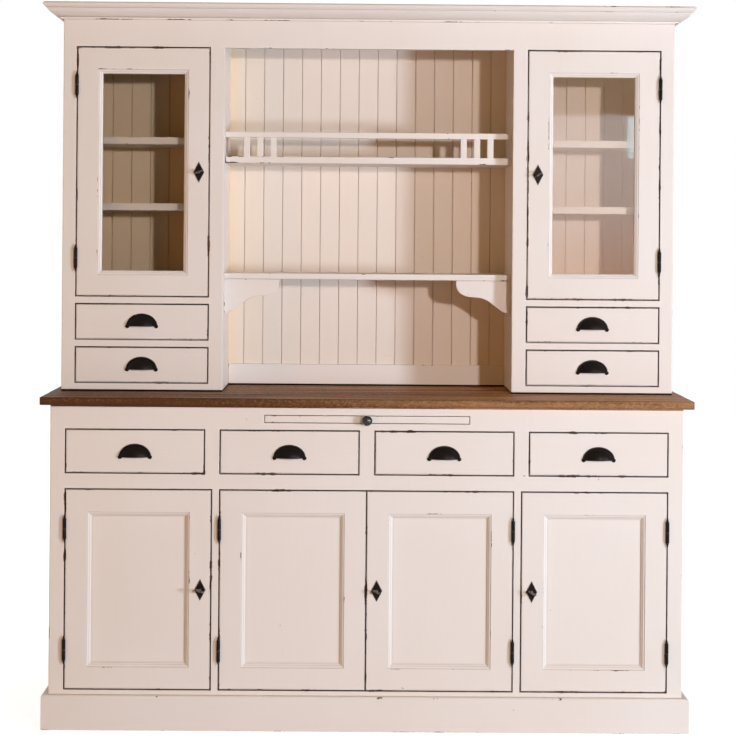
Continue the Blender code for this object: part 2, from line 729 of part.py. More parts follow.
def key_mesh(name, roll):
    """A key: an oval bow edge-on to the door, a shank through the lock and the catch it turns."""
    catch_front = FACE_THICKNESS + CATCH_CLEARANCE
    catch_depth = (catch_front, catch_front + CATCH_THICKNESS)
    half_across = KEY_BOW_WIDTH / 2 - KEY_SHANK_RADIUS
    half_along = KEY_BOW_LENGTH / 2 - KEY_SHANK_RADIUS
    curve = bpy.data.curves.new(name + "_bow", "CURVE")
    curve.dimensions = "3D"
    curve.bevel_depth = KEY_SHANK_RADIUS
    curve.bevel_resolution = 1
    bow = curve.splines.new("POLY")
    bow.points.add(ROUND_STEPS - 1)
    for index, point in enumerate(bow.points):
        angle = 2 * pi * index / ROUND_STEPS
        along = half_along * cos(angle) - key_bow_centre
        point.co = (half_across * sin(angle), along, 0, 1)
    bow.use_cyclic_u = True
    key = solid_from_curve(curve, Matrix.Rotation(roll, 4, "Y"))
    shank_depth = (half_along - key_bow_centre, catch_depth[1] - CATCH_THICKNESS / 2)
    combine(key, add_helper(name + "_shank", rod_mesh(name + "_shank", KEY_SHANK_RADIUS, shank_depth)), "UNION")
    catch = [(mid_span(CATCH_WIDTH), catch_depth, (-CATCH_REACH, CATCH_WIDTH / 2))]
    combine(key, add_helper(name + "_catch", box_mesh(name + "_catch", catch)), "UNION")
    return finished(key, name)


def moulding_cut(door, name, field, face):
    """Sinks the front of a leaf inside its frame, with a moulding that slopes in all round."""
    flare = OVERRUN * MOULDING / PANEL_RECESS
    across, up = [(side[0] - flare, side[1] + flare) for side in field]
    splay = tapered_mesh(name + "_splay", (across, (face - OVERRUN, face + PANEL_RECESS), up), MOULDING + flare)
    combine(door, add_helper(name + "_splay", splay), "DIFFERENCE")


def panel_cut(door, name, field, face):
    """Leaves a thin flat panel inside a leaf's frame."""
    moulding_cut(door, name, field, face)
    behind = (face + PANEL_RECESS + PANEL_THICKNESS, face + FACE_THICKNESS + OVERRUN)
    cut_boxes(door, name + "_back_recess", [(field[0], behind, field[1])])


def glass_cut(door, name, field, face):
    """Opens a leaf for its pane, with a groove that holds the pane."""
    moulding_cut(door, name, field, face)
    sight = [(side[0] + MOULDING, side[1] - MOULDING) for side in field]
    depth = (face + PANEL_RECESS / 2, face + FACE_THICKNESS + OVERRUN)
    cut_boxes(door, name + "_sight", [(sight[0], depth, sight[1])])
    groove = [(side[0] - GLASS_GROOVE, side[1] + GLASS_GROOVE) for side in sight]
    depth = (face + GLASS_DEPTH, face + GLASS_DEPTH + GLASS_THICKNESS + 2 * SEAT_GAP)
    cut_boxes(door, name + "_glass_groove", [(groove[0], depth, groove[1])])
    pane = [(side[0] + SEAT_GAP, side[1] - SEAT_GAP) for side in (groove[0], depth, groove[1])]
    add_box(name + "_glass", pane, GLASS, place_of(door), door)


def add_door(name, across, up, face, hinged, glazed, hinge, lock, lock_rise=None, key_roll=None):
    """One door leaf with its hinges and, where it has them, its glass, lock and key. Hinged is -1 for
    hinges on the left and 1 on the right, and the leaf's origin is on their axis."""
    axis_x = across[1] if hinged > 0 else across[0]
    axis = Vector((axis_x, face - hinge_reach, (up[0] + up[1]) / 2))
    thickness = GLAZED_LEAF_THICKNESS if glazed else FACE_THICKNESS
    leaf = (fitted(across), (face, face + thickness), fitted(up))
    door = add_box(name, leaf, PAINT, axis)
    ease(door, EASED_EDGE)
    field_up = (up[0] + LEAF_BOTTOM_RAIL, up[1] - LEAF_TOP_RAIL)
    field = ((across[0] + LEAF_STILE, across[1] - LEAF_STILE), field_up)
    if glazed:
        glass_cut(door, name, field, face)
    else:
        panel_cut(door, name, field, face)
    for level, height in (("top", up[1] - HINGE_INSET), ("bottom", up[0] + HINGE_INSET)):
        turn = pi if hinged > 0 else 0
        add_part(name + "_hinge_" + level, hinge, IRON, (axis_x, face - hinge_reach, height), roll=turn)
    if lock_rise is None:
        return
    free_edge = across[0] + LOCK_INSET if hinged > 0 else across[1] - LOCK_INSET
    place = Vector((free_edge, face, up[0] + lock_rise))
    cut_for_lock(door, name, place)
    add_part(name + "_lock", lock, IRON, place, door)
    add_part(name + "_key", key_mesh(name + "_key", key_roll), IRON, place, door)


def cut_for_lock(door, name, place):
    """Bores the leaf for the key tube and sinks a pocket in its back for the lock case."""
    depth = through((place.y, place.y + FACE_THICKNESS))
    radius = LOCK_TUBE_RADIUS + SEAT_GAP
    bore = rod_mesh(name + "_key_hole", radius, depth, (place.x, place.z))
    combine(door, add_helper(name + "_key_hole", bore), "DIFFERENCE")
    half_width = LOCK_CASE_WIDTH / 2 + SEAT_GAP
    half_height = LOCK_CASE_HEIGHT / 2 + SEAT_GAP
    pocket_front = place.y + FACE_THICKNESS - LOCK_CASE_THICKNESS - SEAT_GAP
    pocket = (
        (place.x - half_width, place.x + half_width),
        (pocket_front, place.y + FACE_THICKNESS + OVERRUN),
        (place.z - half_height, place.z + half_height),
    )
    cut_boxes(door, name + "_lock_pocket", [pocket])


def build_doors():
    """The base's four panelled doors and the hutch's two glazed ones."""
    hinge = hinge_mesh()
    lock = lock_mesh()
    base_up = (door_low, door_high)
    outer = (door_line, end_line)
    inner = (0, pair_line)
    for name, across, hinged, roll in (
        ("base_door_far_left", mirrored(outer), -1, radians(18)),
        ("base_door_mid_left", mirrored(inner), -1, None),
        ("base_door_mid_right", inner, 1, radians(22)),
        ("base_door_far_right", outer, 1, radians(27)),
    ):
        rise = None if roll is None else BASE_LOCK_RISE
        add_door(name, across, base_up, 0, hinged, False, hinge, lock, rise, roll)
    cabinet = (cabinet_inner_line, cabinet_line)
    up = (glazed_low, glazed_high)
    for name, across, hinged, roll in (
        ("hutch_door_left", mirrored(cabinet), -1, radians(-20)),
        ("hutch_door_right", cabinet, 1, radians(-35)),
    ):
        add_door(name, across, up, HUTCH_SETBACK, hinged, True, hinge, lock, HUTCH_LOCK_RISE, roll)


# Drawers, with their cup pulls, and the pull-out board

def pull_mesh():
    """A cup pull: a quarter dome that is open below, with an arched rim that ends in round feet. Its
    shapes run into the drawer front and are cut off flat together. Its origin is between the feet."""
    rim_depth = (-SEAT_GAP - PULL_RIM_THICKNESS, OVERRUN)
    foot_depth = (rim_depth[0] - PULL_RIM_THICKNESS / 4, OVERRUN * 2)
    foot_line = PULL_WIDTH / 2 - PULL_FOOT_RADIUS
    half_width = foot_line + PULL_RIM / 2
    rise = PULL_HEIGHT - PULL_FOOT_RADIUS
    angles = [pi * step / ARCH_STEPS for step in range(ARCH_STEPS + 1)]
    outer = [(half_width * cos(angle), rise * sin(angle)) for angle in angles]
    inner_width = half_width - PULL_RIM
    inner_rise = rise - PULL_RIM
    inner = [(inner_width * cos(angle), inner_rise * sin(angle)) for angle in reversed(angles)]
    pull = prism("pull_rim", outer + inner, "Y", rim_depth)
    for name, side in (("left", -1), ("right", 1)):
        foot = rod_mesh(name + "_pull_foot", PULL_FOOT_RADIUS, foot_depth, (side * foot_line, 0))
        combine(pull, add_helper(name + "_pull_foot", foot), "UNION")
    dome_radii = (inner_width + PULL_WALL / 2, PULL_REACH, inner_rise + PULL_WALL / 2)
    dome = add_helper("pull_dome", ball_mesh("pull_dome", dome_radii))
    hollow = [radius - PULL_WALL for radius in dome_radii]
    combine(dome, add_helper("dome_hollow", ball_mesh("dome_hollow", hollow)), "DIFFERENCE")
    quarter = [(mid_span(PULL_WIDTH), (-PULL_REACH - OVERRUN, PULL_WALL), (0, rise + OVERRUN))]
    combine(dome, add_helper("dome_quarter", box_mesh("dome_quarter", quarter)), "INTERSECT")
    combine(pull, dome, "UNION")
    behind = (mid_span(PULL_WIDTH * 2), (-SEAT_GAP, OVERRUN * 3), mid_span(PULL_HEIGHT * 3))
    cut_boxes(pull, "pull_back", [behind])
    return finished(pull, "cup_pull")


def add_drawer(name, across, up, face, box_back, pull, pull_rise):
    """One drawer, box and front together, with its cup pull."""
    front = (fitted(across), (face, face + FACE_THICKNESS), fitted(up))
    place = Vector(((across[0] + across[1]) / 2, face, (up[0] + up[1]) / 2))
    drawer = add_box(name, front, PAINT, place)
    ease(drawer, EASED_EDGE)
    box_across = (front[0][0] + BOX_SIDE_INSET, front[0][1] - BOX_SIDE_INSET)
    box_up = (front[2][0], front[2][1] - BOX_TOP_INSET)
    box = box_mesh(name + "_box", [(box_across, (face + FACE_THICKNESS / 2, box_back), box_up)])
    combine(drawer, add_helper(name + "_box", box), "UNION")
    inside = (box_across[0] + BOX_WALL, box_across[1] - BOX_WALL)
    depth = (face + FACE_THICKNESS, box_back - BOX_WALL)
    cut_boxes(drawer, name + "_inside", [(inside, depth, (box_up[0] + BOX_FLOOR, box_up[1] + OVERRUN))])
    at = place + Vector((0, 0, pull_rise + PULL_FOOT_RADIUS - PULL_HEIGHT / 2))
    add_part(name + "_cup_pull", pull, IRON, at, drawer)


def build_drawers():
    """Four drawers in the base and two on each side of the hutch."""
    pull = pull_mesh()
    outer = (drawer_line, end_line)
    inner = (muntin_line, pair_line)
    for name, across in (
        ("far_left", mirrored(outer)), ("mid_left", mirrored(inner)), ("mid_right", inner), ("far_right", outer)
    ):
        add_drawer("base_drawer_" + name, across, (drawer_low, drawer_high), 0, base_box_back, pull, 0)
    cabinet = (cabinet_inner_line, cabinet_line)
    for side, across in (("left", mirrored(cabinet)), ("right", cabinet)):
        for level, up in (("upper", (upper_low, upper_high)), ("lower", (lower_low, lower_high))):
            name = "hutch_drawer_" + side + "_" + level
            add_drawer(name, across, up, HUTCH_SETBACK, hutch_box_back, pull, HUTCH_PULL_RISE)


def build_slide():
    """The pull-out board under the worktop, with its turned knob."""
    up = fitted((slide_low, slide_high))
    place = Vector((0, 0, (up[0] + up[1]) / 2))
    span = (fitted(mid_span(SLIDE_WIDTH)), (0, slide_back), up)
    board = add_box("pull_out_board", span, PAINT, place)
    ease(board, EASED_EDGE)
    profile = [(radius * KNOB_RADIUS, rise * KNOB_REACH) for radius, rise in KNOB_SHARES]
    knob = turned("knob_turning", profile, KNOB_STEPS)
    knob.matrix_basis = Matrix.Translation((0, -SEAT_GAP, 0)) @ Matrix.Rotation(pi / 2, 4, "X")
    at = place - Vector((0, 0, KNOB_DROP))
    add_part("pull_out_board_knob", finished(knob, "turned_knob"), IRON, at, board)


build_base()
build_hutch()
build_gallery_shelf()
build_lower_shelf()
build_doors()
build_drawers()
build_slide()
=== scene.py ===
"""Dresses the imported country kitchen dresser: rubbed cream paint on boards, mouldings and doors, a
waxed worktop, blackened iron and clear panes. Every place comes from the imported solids' boxes."""

import json
import logging
from collections.abc import Iterable, Sequence
from dataclasses import dataclass, field
from enum import Enum
from math import cos, floor, pi, radians, sin

import bmesh
import bpy
from mathutils import Matrix, Vector

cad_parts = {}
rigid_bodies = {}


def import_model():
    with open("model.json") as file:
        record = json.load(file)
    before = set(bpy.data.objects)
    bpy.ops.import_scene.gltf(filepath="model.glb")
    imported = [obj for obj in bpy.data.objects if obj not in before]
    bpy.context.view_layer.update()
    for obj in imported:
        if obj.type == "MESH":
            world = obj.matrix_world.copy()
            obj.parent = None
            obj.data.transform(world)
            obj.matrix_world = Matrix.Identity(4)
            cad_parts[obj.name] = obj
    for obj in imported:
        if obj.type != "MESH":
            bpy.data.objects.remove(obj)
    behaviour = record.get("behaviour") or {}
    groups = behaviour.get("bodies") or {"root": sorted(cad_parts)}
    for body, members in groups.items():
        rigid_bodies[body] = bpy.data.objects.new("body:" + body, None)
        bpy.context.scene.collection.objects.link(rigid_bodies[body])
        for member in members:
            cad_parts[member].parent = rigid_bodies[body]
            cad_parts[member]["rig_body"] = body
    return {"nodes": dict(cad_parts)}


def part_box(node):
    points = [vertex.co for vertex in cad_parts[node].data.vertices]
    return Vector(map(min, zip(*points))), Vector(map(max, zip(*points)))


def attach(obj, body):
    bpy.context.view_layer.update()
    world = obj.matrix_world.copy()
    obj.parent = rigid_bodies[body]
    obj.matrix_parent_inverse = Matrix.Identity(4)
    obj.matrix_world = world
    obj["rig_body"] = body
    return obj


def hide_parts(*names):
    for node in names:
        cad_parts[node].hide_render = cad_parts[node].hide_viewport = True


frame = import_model()

log = logging.getLogger("dresser")

Colour = tuple[float, float, float]
Place = tuple[float, float, float]
Rect = tuple[float, float, float, float]
Verts = list[bmesh.types.BMVert]
Socket = bpy.types.NodeSocket
Value = Socket | float | str | Sequence[float]

WHITE: Colour = (1.0, 1.0, 1.0)
ACROSS, ALONG = 210.0, 5.0  # cycles of the brush marks to the metre, across and along a board
HAIR = 0.0003  # a gap or a lap that is too narrow to see
SUNK = 0.0004  # how deep a nail's head sits
MERGED = 0.000005  # points of a finished piece that are nearer to each other than this become one
WELDED = 0.00002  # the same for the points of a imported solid
FLAT = radians(0.6)  # faces that differ by less than this become one
SHARP = radians(35)  # edges that bend by more than this are rounded
CORNER = radians(40)  # a turned profile is worn where it bends by more than this
ALIKE = 0.9  # the least cosine between two faces of one smooth region


class Run(Enum):
    """Which way the grain and the brush marks of a board run."""

    UPRIGHT = (ACROSS, ACROSS, ALONG)
    LEVEL = (ALONG, ACROSS, ACROSS)


class Slot(Enum):
    """The record's material slots."""

    PAINT = "cream_paint"
    WORKTOP = "worktop_wood"
    PINE = "bare_pine"
    IRON = "black_iron"
    GLASS = "clear_glass"


# Finishes


class Tree:
    """A node tree, with one short call for each new node."""

    def __init__(self, tree: bpy.types.NodeTree) -> None:
        """Empties the tree that is to be filled."""
        self.tree = tree
        tree.nodes.clear()

    def add(self, kind: str, inputs: dict[str | int, Value], **settings: str) -> bpy.types.Node:
        """Adds a node.

        Args:
            kind: Its type.
            inputs: By name or number, another node's output or a value of the input's own.
            settings: Its other settings.

        Returns:
            The node.
        """
        node = self.tree.nodes.new(kind)
        for name, value in settings.items():
            setattr(node, name, value)
        for name, value in inputs.items():
            target = node.inputs[name]
            if isinstance(value, Socket):
                self.tree.links.new(value, target)
            elif target.type == "RGBA":
                target.default_value = (*value, 1.0)
            else:
                target.default_value = value
        return node

    def maths(self, operation: str, first: Value, second: Value = 0.0) -> Socket:
        """The result of one Math node."""
        return self.add("ShaderNodeMath", {0: first, 1: second}, operation=operation).outputs[0]

    def mix(self, share: Socket, first: bpy.types.Node, second: bpy.types.Node) -> bpy.types.Node:
        """A mix of two shaders."""
        inputs = {0: share, 1: first.outputs[0], 2: second.outputs[0]}
        return self.add("ShaderNodeMixShader", inputs)

    def seen(self) -> Socket:
        """Tells the rays that look at the backdrop itself from those that light things.

        Returns:
            One for those that look, and nought for those that light.
        """
        path = self.add("ShaderNodeLightPath", {})
        total = path.outputs["Is Camera Ray"]
        for name in ("Is Glossy Ray", "Is Transmission Ray"):
            total = self.maths("MAXIMUM", total, path.outputs[name])
        return total


class Shading(Tree):
    """A material's tree, with the patterns that the finishes share."""

    def __init__(self, name: str) -> None:
        """Starts an empty material.

        Args:
            name: Its name.
        """
        self.material = bpy.data.materials.new(name)
        self.material.use_nodes = True
        super().__init__(self.material.node_tree)
        self.place = self.add("ShaderNodeTexCoord", {}).outputs["Object"]

    def axis(self, name: str) -> Socket:
        """The place along one axis of the piece."""
        return self.add("ShaderNodeSeparateXYZ", {0: self.place}).outputs[name]

    def noise(
        self, scale: float | Place, detail: float, roughness: float = 0.5, distortion: float = 0.0
    ) -> Socket:
        """A noise pattern on the piece's own coordinates.

        Args:
            scale: Cycles to the metre, the same all ways or one for each axis.
            detail: Octaves.
            roughness: How strong the finer octaves are.
            distortion: How far the pattern is twisted.

        Returns:
            The pattern, from 0 to 1.
        """
        inputs = {"Detail": detail, "Roughness": roughness, "Distortion": distortion}
        if isinstance(scale, tuple):
            scaled = self.add("ShaderNodeMapping", {"Vector": self.place, "Scale": scale})
            inputs |= {"Vector": scaled.outputs["Vector"], "Scale": 1.0}
        else:
            inputs |= {"Vector": self.place, "Scale": scale}
        return self.add("ShaderNodeTexNoise", inputs).outputs["Fac"]

    def attribute(self, name: str) -> Socket:
        """A value that the mesh holds at each point."""
        return self.add("ShaderNodeAttribute", {}, attribute_name=name).outputs["Fac"]

    def step(
        self, value: Socket, low: float, high: float, start: float = 0.0, end: float = 1.0
    ) -> Socket:
        """A smooth step between two levels.

        Args:
            value: What is stepped.
            low: The level where the step starts.
            high: The level where it ends.
            start: The result below the step.
            end: The result above it.

        Returns:
            The result, held between start and end.
        """
        inputs = {"Value": value, "From Min": low, "From Max": high, "To Min": start, "To Max": end}
        step = self.add("ShaderNodeMapRange", inputs, interpolation_type="SMOOTHSTEP")
        return step.outputs["Result"]

    def layers(self, base: Value, *layers: tuple[Socket, Value]) -> Socket:
        """Lays colours over one another.

        Args:
            base: The lowest colour.
            layers: How far each further colour covers those below it, and the colour.

        Returns:
            The colour on top.
        """
        for cover, colour in layers:
            inputs = {0: cover, 6: base, 7: colour}
            base = self.add("ShaderNodeMix", inputs, data_type="RGBA").outputs[2]
        return base

    def relief(self, height: Socket, distance: float, strength: float) -> Socket:
        """The normal of a pattern that is so many metres deep and shows so strongly."""
        inputs = {"Distance": distance, "Strength": strength, "Height": height}
        return self.add("ShaderNodeBump", inputs).outputs["Normal"]

    def end(self, shader: bpy.types.Node) -> bpy.types.Material:
        """Ends the tree in its shader, and hands out the material."""
        self.add("ShaderNodeOutputMaterial", {"Surface": shader.outputs[0]})
        return self.material

    def surface(self, **inputs: Value) -> bpy.types.Material:
        """Ends the tree in the usual shader, whose inputs are named with _ for a space."""
        named = {name.replace("_", " "): value for name, value in inputs.items()}
        return self.end(self.add("ShaderNodeBsdfPrincipled", named))


@dataclass(frozen=True)
class RubbedPaint:
    """Cream satin paint, brushed on and rubbed through to dark wood along its edges, with painted
    shade in gaps and creases.
    """

    name: str
    run: Run
    colour: Colour = (0.800, 0.722, 0.660)
    toned: Colour = (0.765, 0.665, 0.580)
    # Yellowed paint, which also paints the warm shade inside the cabinets and at the bay's ends.
    aged_and_shaded: Colour = (0.800, 0.635, 0.440)
    # The brown of painted shade and grime in gaps and creases, also streaked into bare wood.
    dark_brown: Colour = (0.105, 0.050, 0.026)
    # The near-black of a painted contact shadow along a foot.
    contact_shadow: Colour = (0.010, 0.004, 0.002)
    wood: Colour = (0.070, 0.032, 0.018)
    gloss: float = 0.46

    def material(self) -> bpy.types.Material:
        """Makes the paint, which reads wear, grime with painted shade, and tone from the mesh.

        Returns:
            The material.
        """
        tree = Shading(self.name)
        cloudy = tree.noise(2.3, 3.0)
        brushed = tree.noise(self.run.value, 4.0, 0.6)
        fine = tree.noise(900.0, 2.0)
        clustered = tree.noise(11.0, 2.0)
        chipped = tree.noise(62.0, 6.0, 0.68)
        wear, grime, tone = (tree.attribute(name) for name in ("wear", "grime", "tone"))
        # Painted shade and grime, broken into patches.
        grime_and_shade_cover = tree.maths("MULTIPLY", grime, tree.step(clustered, 0.2, 0.6, 0.72, 1.0))
        base = tree.layers(
            self.colour,
            (tree.step(cloudy, 0.35, 0.72, 0.0, 0.45), self.toned),
            (tree.step(brushed, 0.35, 0.75, 0.0, 0.16), self.toned),
            (tree.step(tone, 0.0, 1.0, 0.0, 0.55), self.toned),
            # Above a tone of one: yellowed paint, which also paints warm shade.
            (tree.step(tone, 1.0, 2.0), self.aged_and_shaded),
            (tree.step(wear, 0.05, 1.0, 0.0, 0.18), self.toned),
            # Painted shade and grime, then a painted contact shadow where the value passes one.
            (grime_and_shade_cover, self.dark_brown),
            (tree.step(grime, 1.0, 2.0), self.contact_shadow),
        )
        ragged = tree.maths("MULTIPLY", tree.maths("SUBTRACT", chipped, 0.5), 1.5)
        patchy = tree.maths("MULTIPLY", tree.maths("SUBTRACT", clustered, 0.5), 1.9)
        reach = tree.maths("ADD", wear, tree.maths("ADD", ragged, patchy))
        specks = tree.step(tree.noise(31.0, 5.0, 0.7), 0.715, 0.74)
        bare = tree.maths("MAXIMUM", tree.step(reach, 0.80, 0.92), specks)
        colour = tree.layers(base, (bare, tree.layers(self.wood, (brushed, self.dark_brown))))

        height = tree.maths("MULTIPLY", brushed, 0.35)
        height = tree.maths("ADD", height, tree.maths("MULTIPLY", fine, 0.08))
        height = tree.maths("SUBTRACT", height, bare)
        rough = tree.maths("ADD", tree.step(brushed, 0.3, 0.8, -0.04, 0.05), self.gloss)
        return tree.surface(
            Base_Color=colour,
            Roughness=tree.maths("ADD", rough, tree.maths("MULTIPLY", bare, 0.2)),
            Specular_IOR_Level=0.16,
            Normal=tree.relief(height, 0.00018, 0.6),
        )


@dataclass(frozen=True)
class WaxedWood:
    """Brown stained and waxed boards, with grain that runs one way, saw marks, and painted shade
    that darkens the front edge.
    """

    name: str
    run: Run
    light: Colour = (0.600, 0.300, 0.130)
    dark: Colour = (0.095, 0.036, 0.010)
    # The colour of painted shade on the marked front face, which makes it read darker than the top.
    edge: Colour = (0.076, 0.028, 0.008)
    gloss: float = 0.46
    # Where along X the boards turn from darker on the left to lighter on the right.
    spread: tuple[float, float] = (-1.20, 1.20)

    def material(self) -> bpy.types.Material:
        """Makes the wood, which reads wear, and grime with painted shade, from the mesh.

        Returns:
            The material.
        """
        tree = Shading(self.name)
        along = [speed / ACROSS for speed in self.run.value]
        rings = tree.noise(tuple(46.0 * share + 0.6 for share in along), 5.0, 0.62, 0.7)
        pores = tree.noise(tuple(900.0 * share + 14.0 for share in along), 3.0, 0.6)
        boards = tree.noise(tuple(9.0 * share + 0.5 for share in along), 2.0)
        sawn = tree.noise((420.0, 8.0, 8.0), 2.0)
        flecks = tree.noise((130.0, 300.0, 300.0), 3.0, 0.7)
        # Lighter towards the right, across the spread.
        rightward = tree.maths("ADD", tree.axis("X"), tree.maths("MULTIPLY", boards, 0.5))
        rightward = tree.step(rightward, *self.spread)
        flecked = tree.step(flecks, 0.4, 0.62, -0.25, 0.3)
        shade = tree.maths("ADD", tree.step(rings, 0.3, 0.7, 0.0, 0.75), flecked)
        shade = tree.maths("ADD", shade, tree.maths("SUBTRACT", rightward, 0.62))
        # Painted shade on the marked front face: stronger on the left, broken by flecks.
        handled = tree.step(rightward, 0.35, 1.0, 1.0, 0.5)
        handled = tree.maths("MULTIPLY", tree.attribute("grime"), handled)
        handled = tree.maths("MULTIPLY", handled, tree.step(flecks, 0.45, 0.7, 1.0, 0.7))
        tint = tree.layers(
            self.dark,
            (tree.step(shade, -0.15, 0.9), self.light),
            (tree.step(pores, 0.52, 0.72, 0.0, 0.5), self.dark),
            (tree.step(tree.attribute("wear"), 0.2, 1.0, 0.0, 0.25), self.dark),
            (handled, self.edge),
        )
        height = tree.maths("ADD", rings, tree.maths("MULTIPLY", pores, -0.7))
        height = tree.maths("ADD", height, tree.maths("MULTIPLY", sawn, 0.25))
        return tree.surface(
            Base_Color=tint,
            Roughness=tree.step(rings, 0.3, 0.7, self.gloss + 0.16, self.gloss),
            Specular_IOR_Level=0.12,
            Normal=tree.relief(height, 0.0007, 0.7),
        )


@dataclass(frozen=True)
class BlackIron:
    """Blackened iron, slightly uneven, that is rubbed brighter on its edges; along the key's bow
    that brightness is also a painted highlight.
    """

    name: str = "blackened_iron"
    colour: Colour = (0.0055, 0.0028, 0.0016)
    # Rubbed edges, and also the painted highlight along the key's bow.
    rubbed: Colour = (0.240, 0.180, 0.150)
    patina: Colour = (0.016, 0.008, 0.005)
    gloss: tuple[float, float] = (0.34, 0.52)
    sheen: float = 0.09

    def material(self) -> bpy.types.Material:
        """Makes the iron, which reads wear from the mesh.

        Returns:
            The material.
        """
        tree = Shading(self.name)
        uneven = tree.noise(150.0, 4.0, 0.6)
        wear = tree.step(tree.attribute("wear"), 0.3, 1.0)
        wear = tree.maths("MULTIPLY", wear, tree.step(uneven, 0.35, 0.65, 0.2, 1.0))
        patchy = tree.step(uneven, 0.45, 0.8, 0.0, 0.35)
        height = tree.maths("ADD", uneven, tree.maths("MULTIPLY", tree.noise(900.0, 2.0), 0.2))
        return tree.surface(
            Base_Color=tree.layers(self.colour, (wear, self.rubbed), (patchy, self.patina)),
            Specular_IOR_Level=self.sheen,
            Roughness=tree.step(uneven, 0.3, 0.75, *self.gloss),
            Normal=tree.relief(height, 0.0004, 0.5),
        )


@dataclass(frozen=True)
class ClearPane:
    """Thin window glass: clear, with gloss that grows towards a glancing view."""

    name: str = "window_glass"
    colour: Colour = (0.90, 0.93, 0.92)
    bend: float = 1.5

    def material(self) -> bpy.types.Material:
        """Makes the glass.

        Returns:
            The material.
        """
        tree = Shading(self.name)
        drawn = tree.noise((7.0, 7.0, 1.5), 2.0)
        return tree.surface(
            Base_Color=self.colour,
            Metallic=1.0,
            Roughness=tree.step(drawn, 0.3, 0.7, 0.02, 0.04),
            Alpha=tree.add("ShaderNodeFresnel", {"IOR": self.bend}).outputs["Fac"],
            Normal=tree.relief(drawn, 0.0008, 0.25),
        )


@dataclass(frozen=True)
class Finish:
    """A material with the record's slot that it belongs to."""

    material: bpy.types.Material
    slot: Slot


class Finishes:
    """The finishes, each made once."""

    def __init__(self) -> None:
        """Makes them all."""
        self.upright = self.paint("cream_paint_upright", Run.UPRIGHT)
        self.level = self.paint("cream_paint_level", Run.LEVEL)
        self.worktop = Finish(WaxedWood("waxed_worktop", Run.LEVEL).material(), Slot.WORKTOP)
        self.pine = self.bare_pine("bare_pine_upright", Run.UPRIGHT)
        self.pine_level = self.bare_pine("bare_pine_level", Run.LEVEL)
        self.iron = Finish(BlackIron().material(), Slot.IRON)
        handled = BlackIron("handled_iron", (0.010, 0.005, 0.003), gloss=(0.22, 0.34), sheen=0.5)
        self.knob = Finish(handled.material(), Slot.IRON)
        self.glass = Finish(ClearPane().material(), Slot.GLASS)

    def paint(self, name: str, run: Run) -> Finish:
        """Cream paint on boards that run one way."""
        return Finish(RubbedPaint(name, run).material(), Slot.PAINT)

    def bare_pine(self, name: str, run: Run) -> Finish:
        """Pine boards that run one way, of one tone from end to end.

        Args:
            name: The material's name.
            run: Which way they run.

        Returns:
            The finish.
        """
        light, dark = (0.56, 0.37, 0.20), (0.36, 0.20, 0.09)
        pine = WaxedWood(name, run, light, dark, gloss=0.55, spread=(-8.75, -7.75))
        return Finish(pine.material(), Slot.PINE)


# Mesh work


def shrunk(rect: Rect, by: float) -> Rect:
    """A rectangle drawn in by the same amount on each side."""
    return (rect[0] + by, rect[1] - by, rect[2] + by, rect[3] - by)


def front_of(node: str) -> tuple[Rect, float, float]:
    """A CAD node's rectangle across the front, then its front and back along Y."""
    low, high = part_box(node)
    return (low.x, high.x, low.z, high.z), low.y, high.y


def middle(node: str, depth: float) -> Vector:
    """The middle of a CAD node as seen from the front, at a place along Y."""
    low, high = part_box(node)
    return Vector(((low.x + high.x) / 2, depth, (low.z + high.z) / 2))


def facing(place: Vector) -> Matrix:
    """The axis of a turned shape that stands on a front and points at the viewer."""
    return Matrix.Translation(place) @ Matrix.Rotation(pi / 2, 4, "X")


def smooth_line(points: Sequence[tuple[float, float]], steps: int) -> list[tuple[float, float]]:
    """A curve through points in a plane.

    Args:
        points: The points that it passes.
        steps: How many stretches it has between two points.

    Returns:
        The points along it.
    """
    line = []
    last = len(points) - 1
    for index in range(last):
        around = (max(index - 1, 0), index, index + 1, min(index + 2, last))
        before, start, end, after = (Vector(points[spot]) for spot in around)
        for step in range(steps):
            t = step / steps
            spot = 0.5 * (
                2 * start
                + (end - before) * t
                + (2 * before - 5 * start + 4 * end - after) * t * t
                + (3 * start - before - 3 * end + after) * t**3
            )
            line.append((spot.x, spot.y))
    return [*line, tuple(points[-1])]


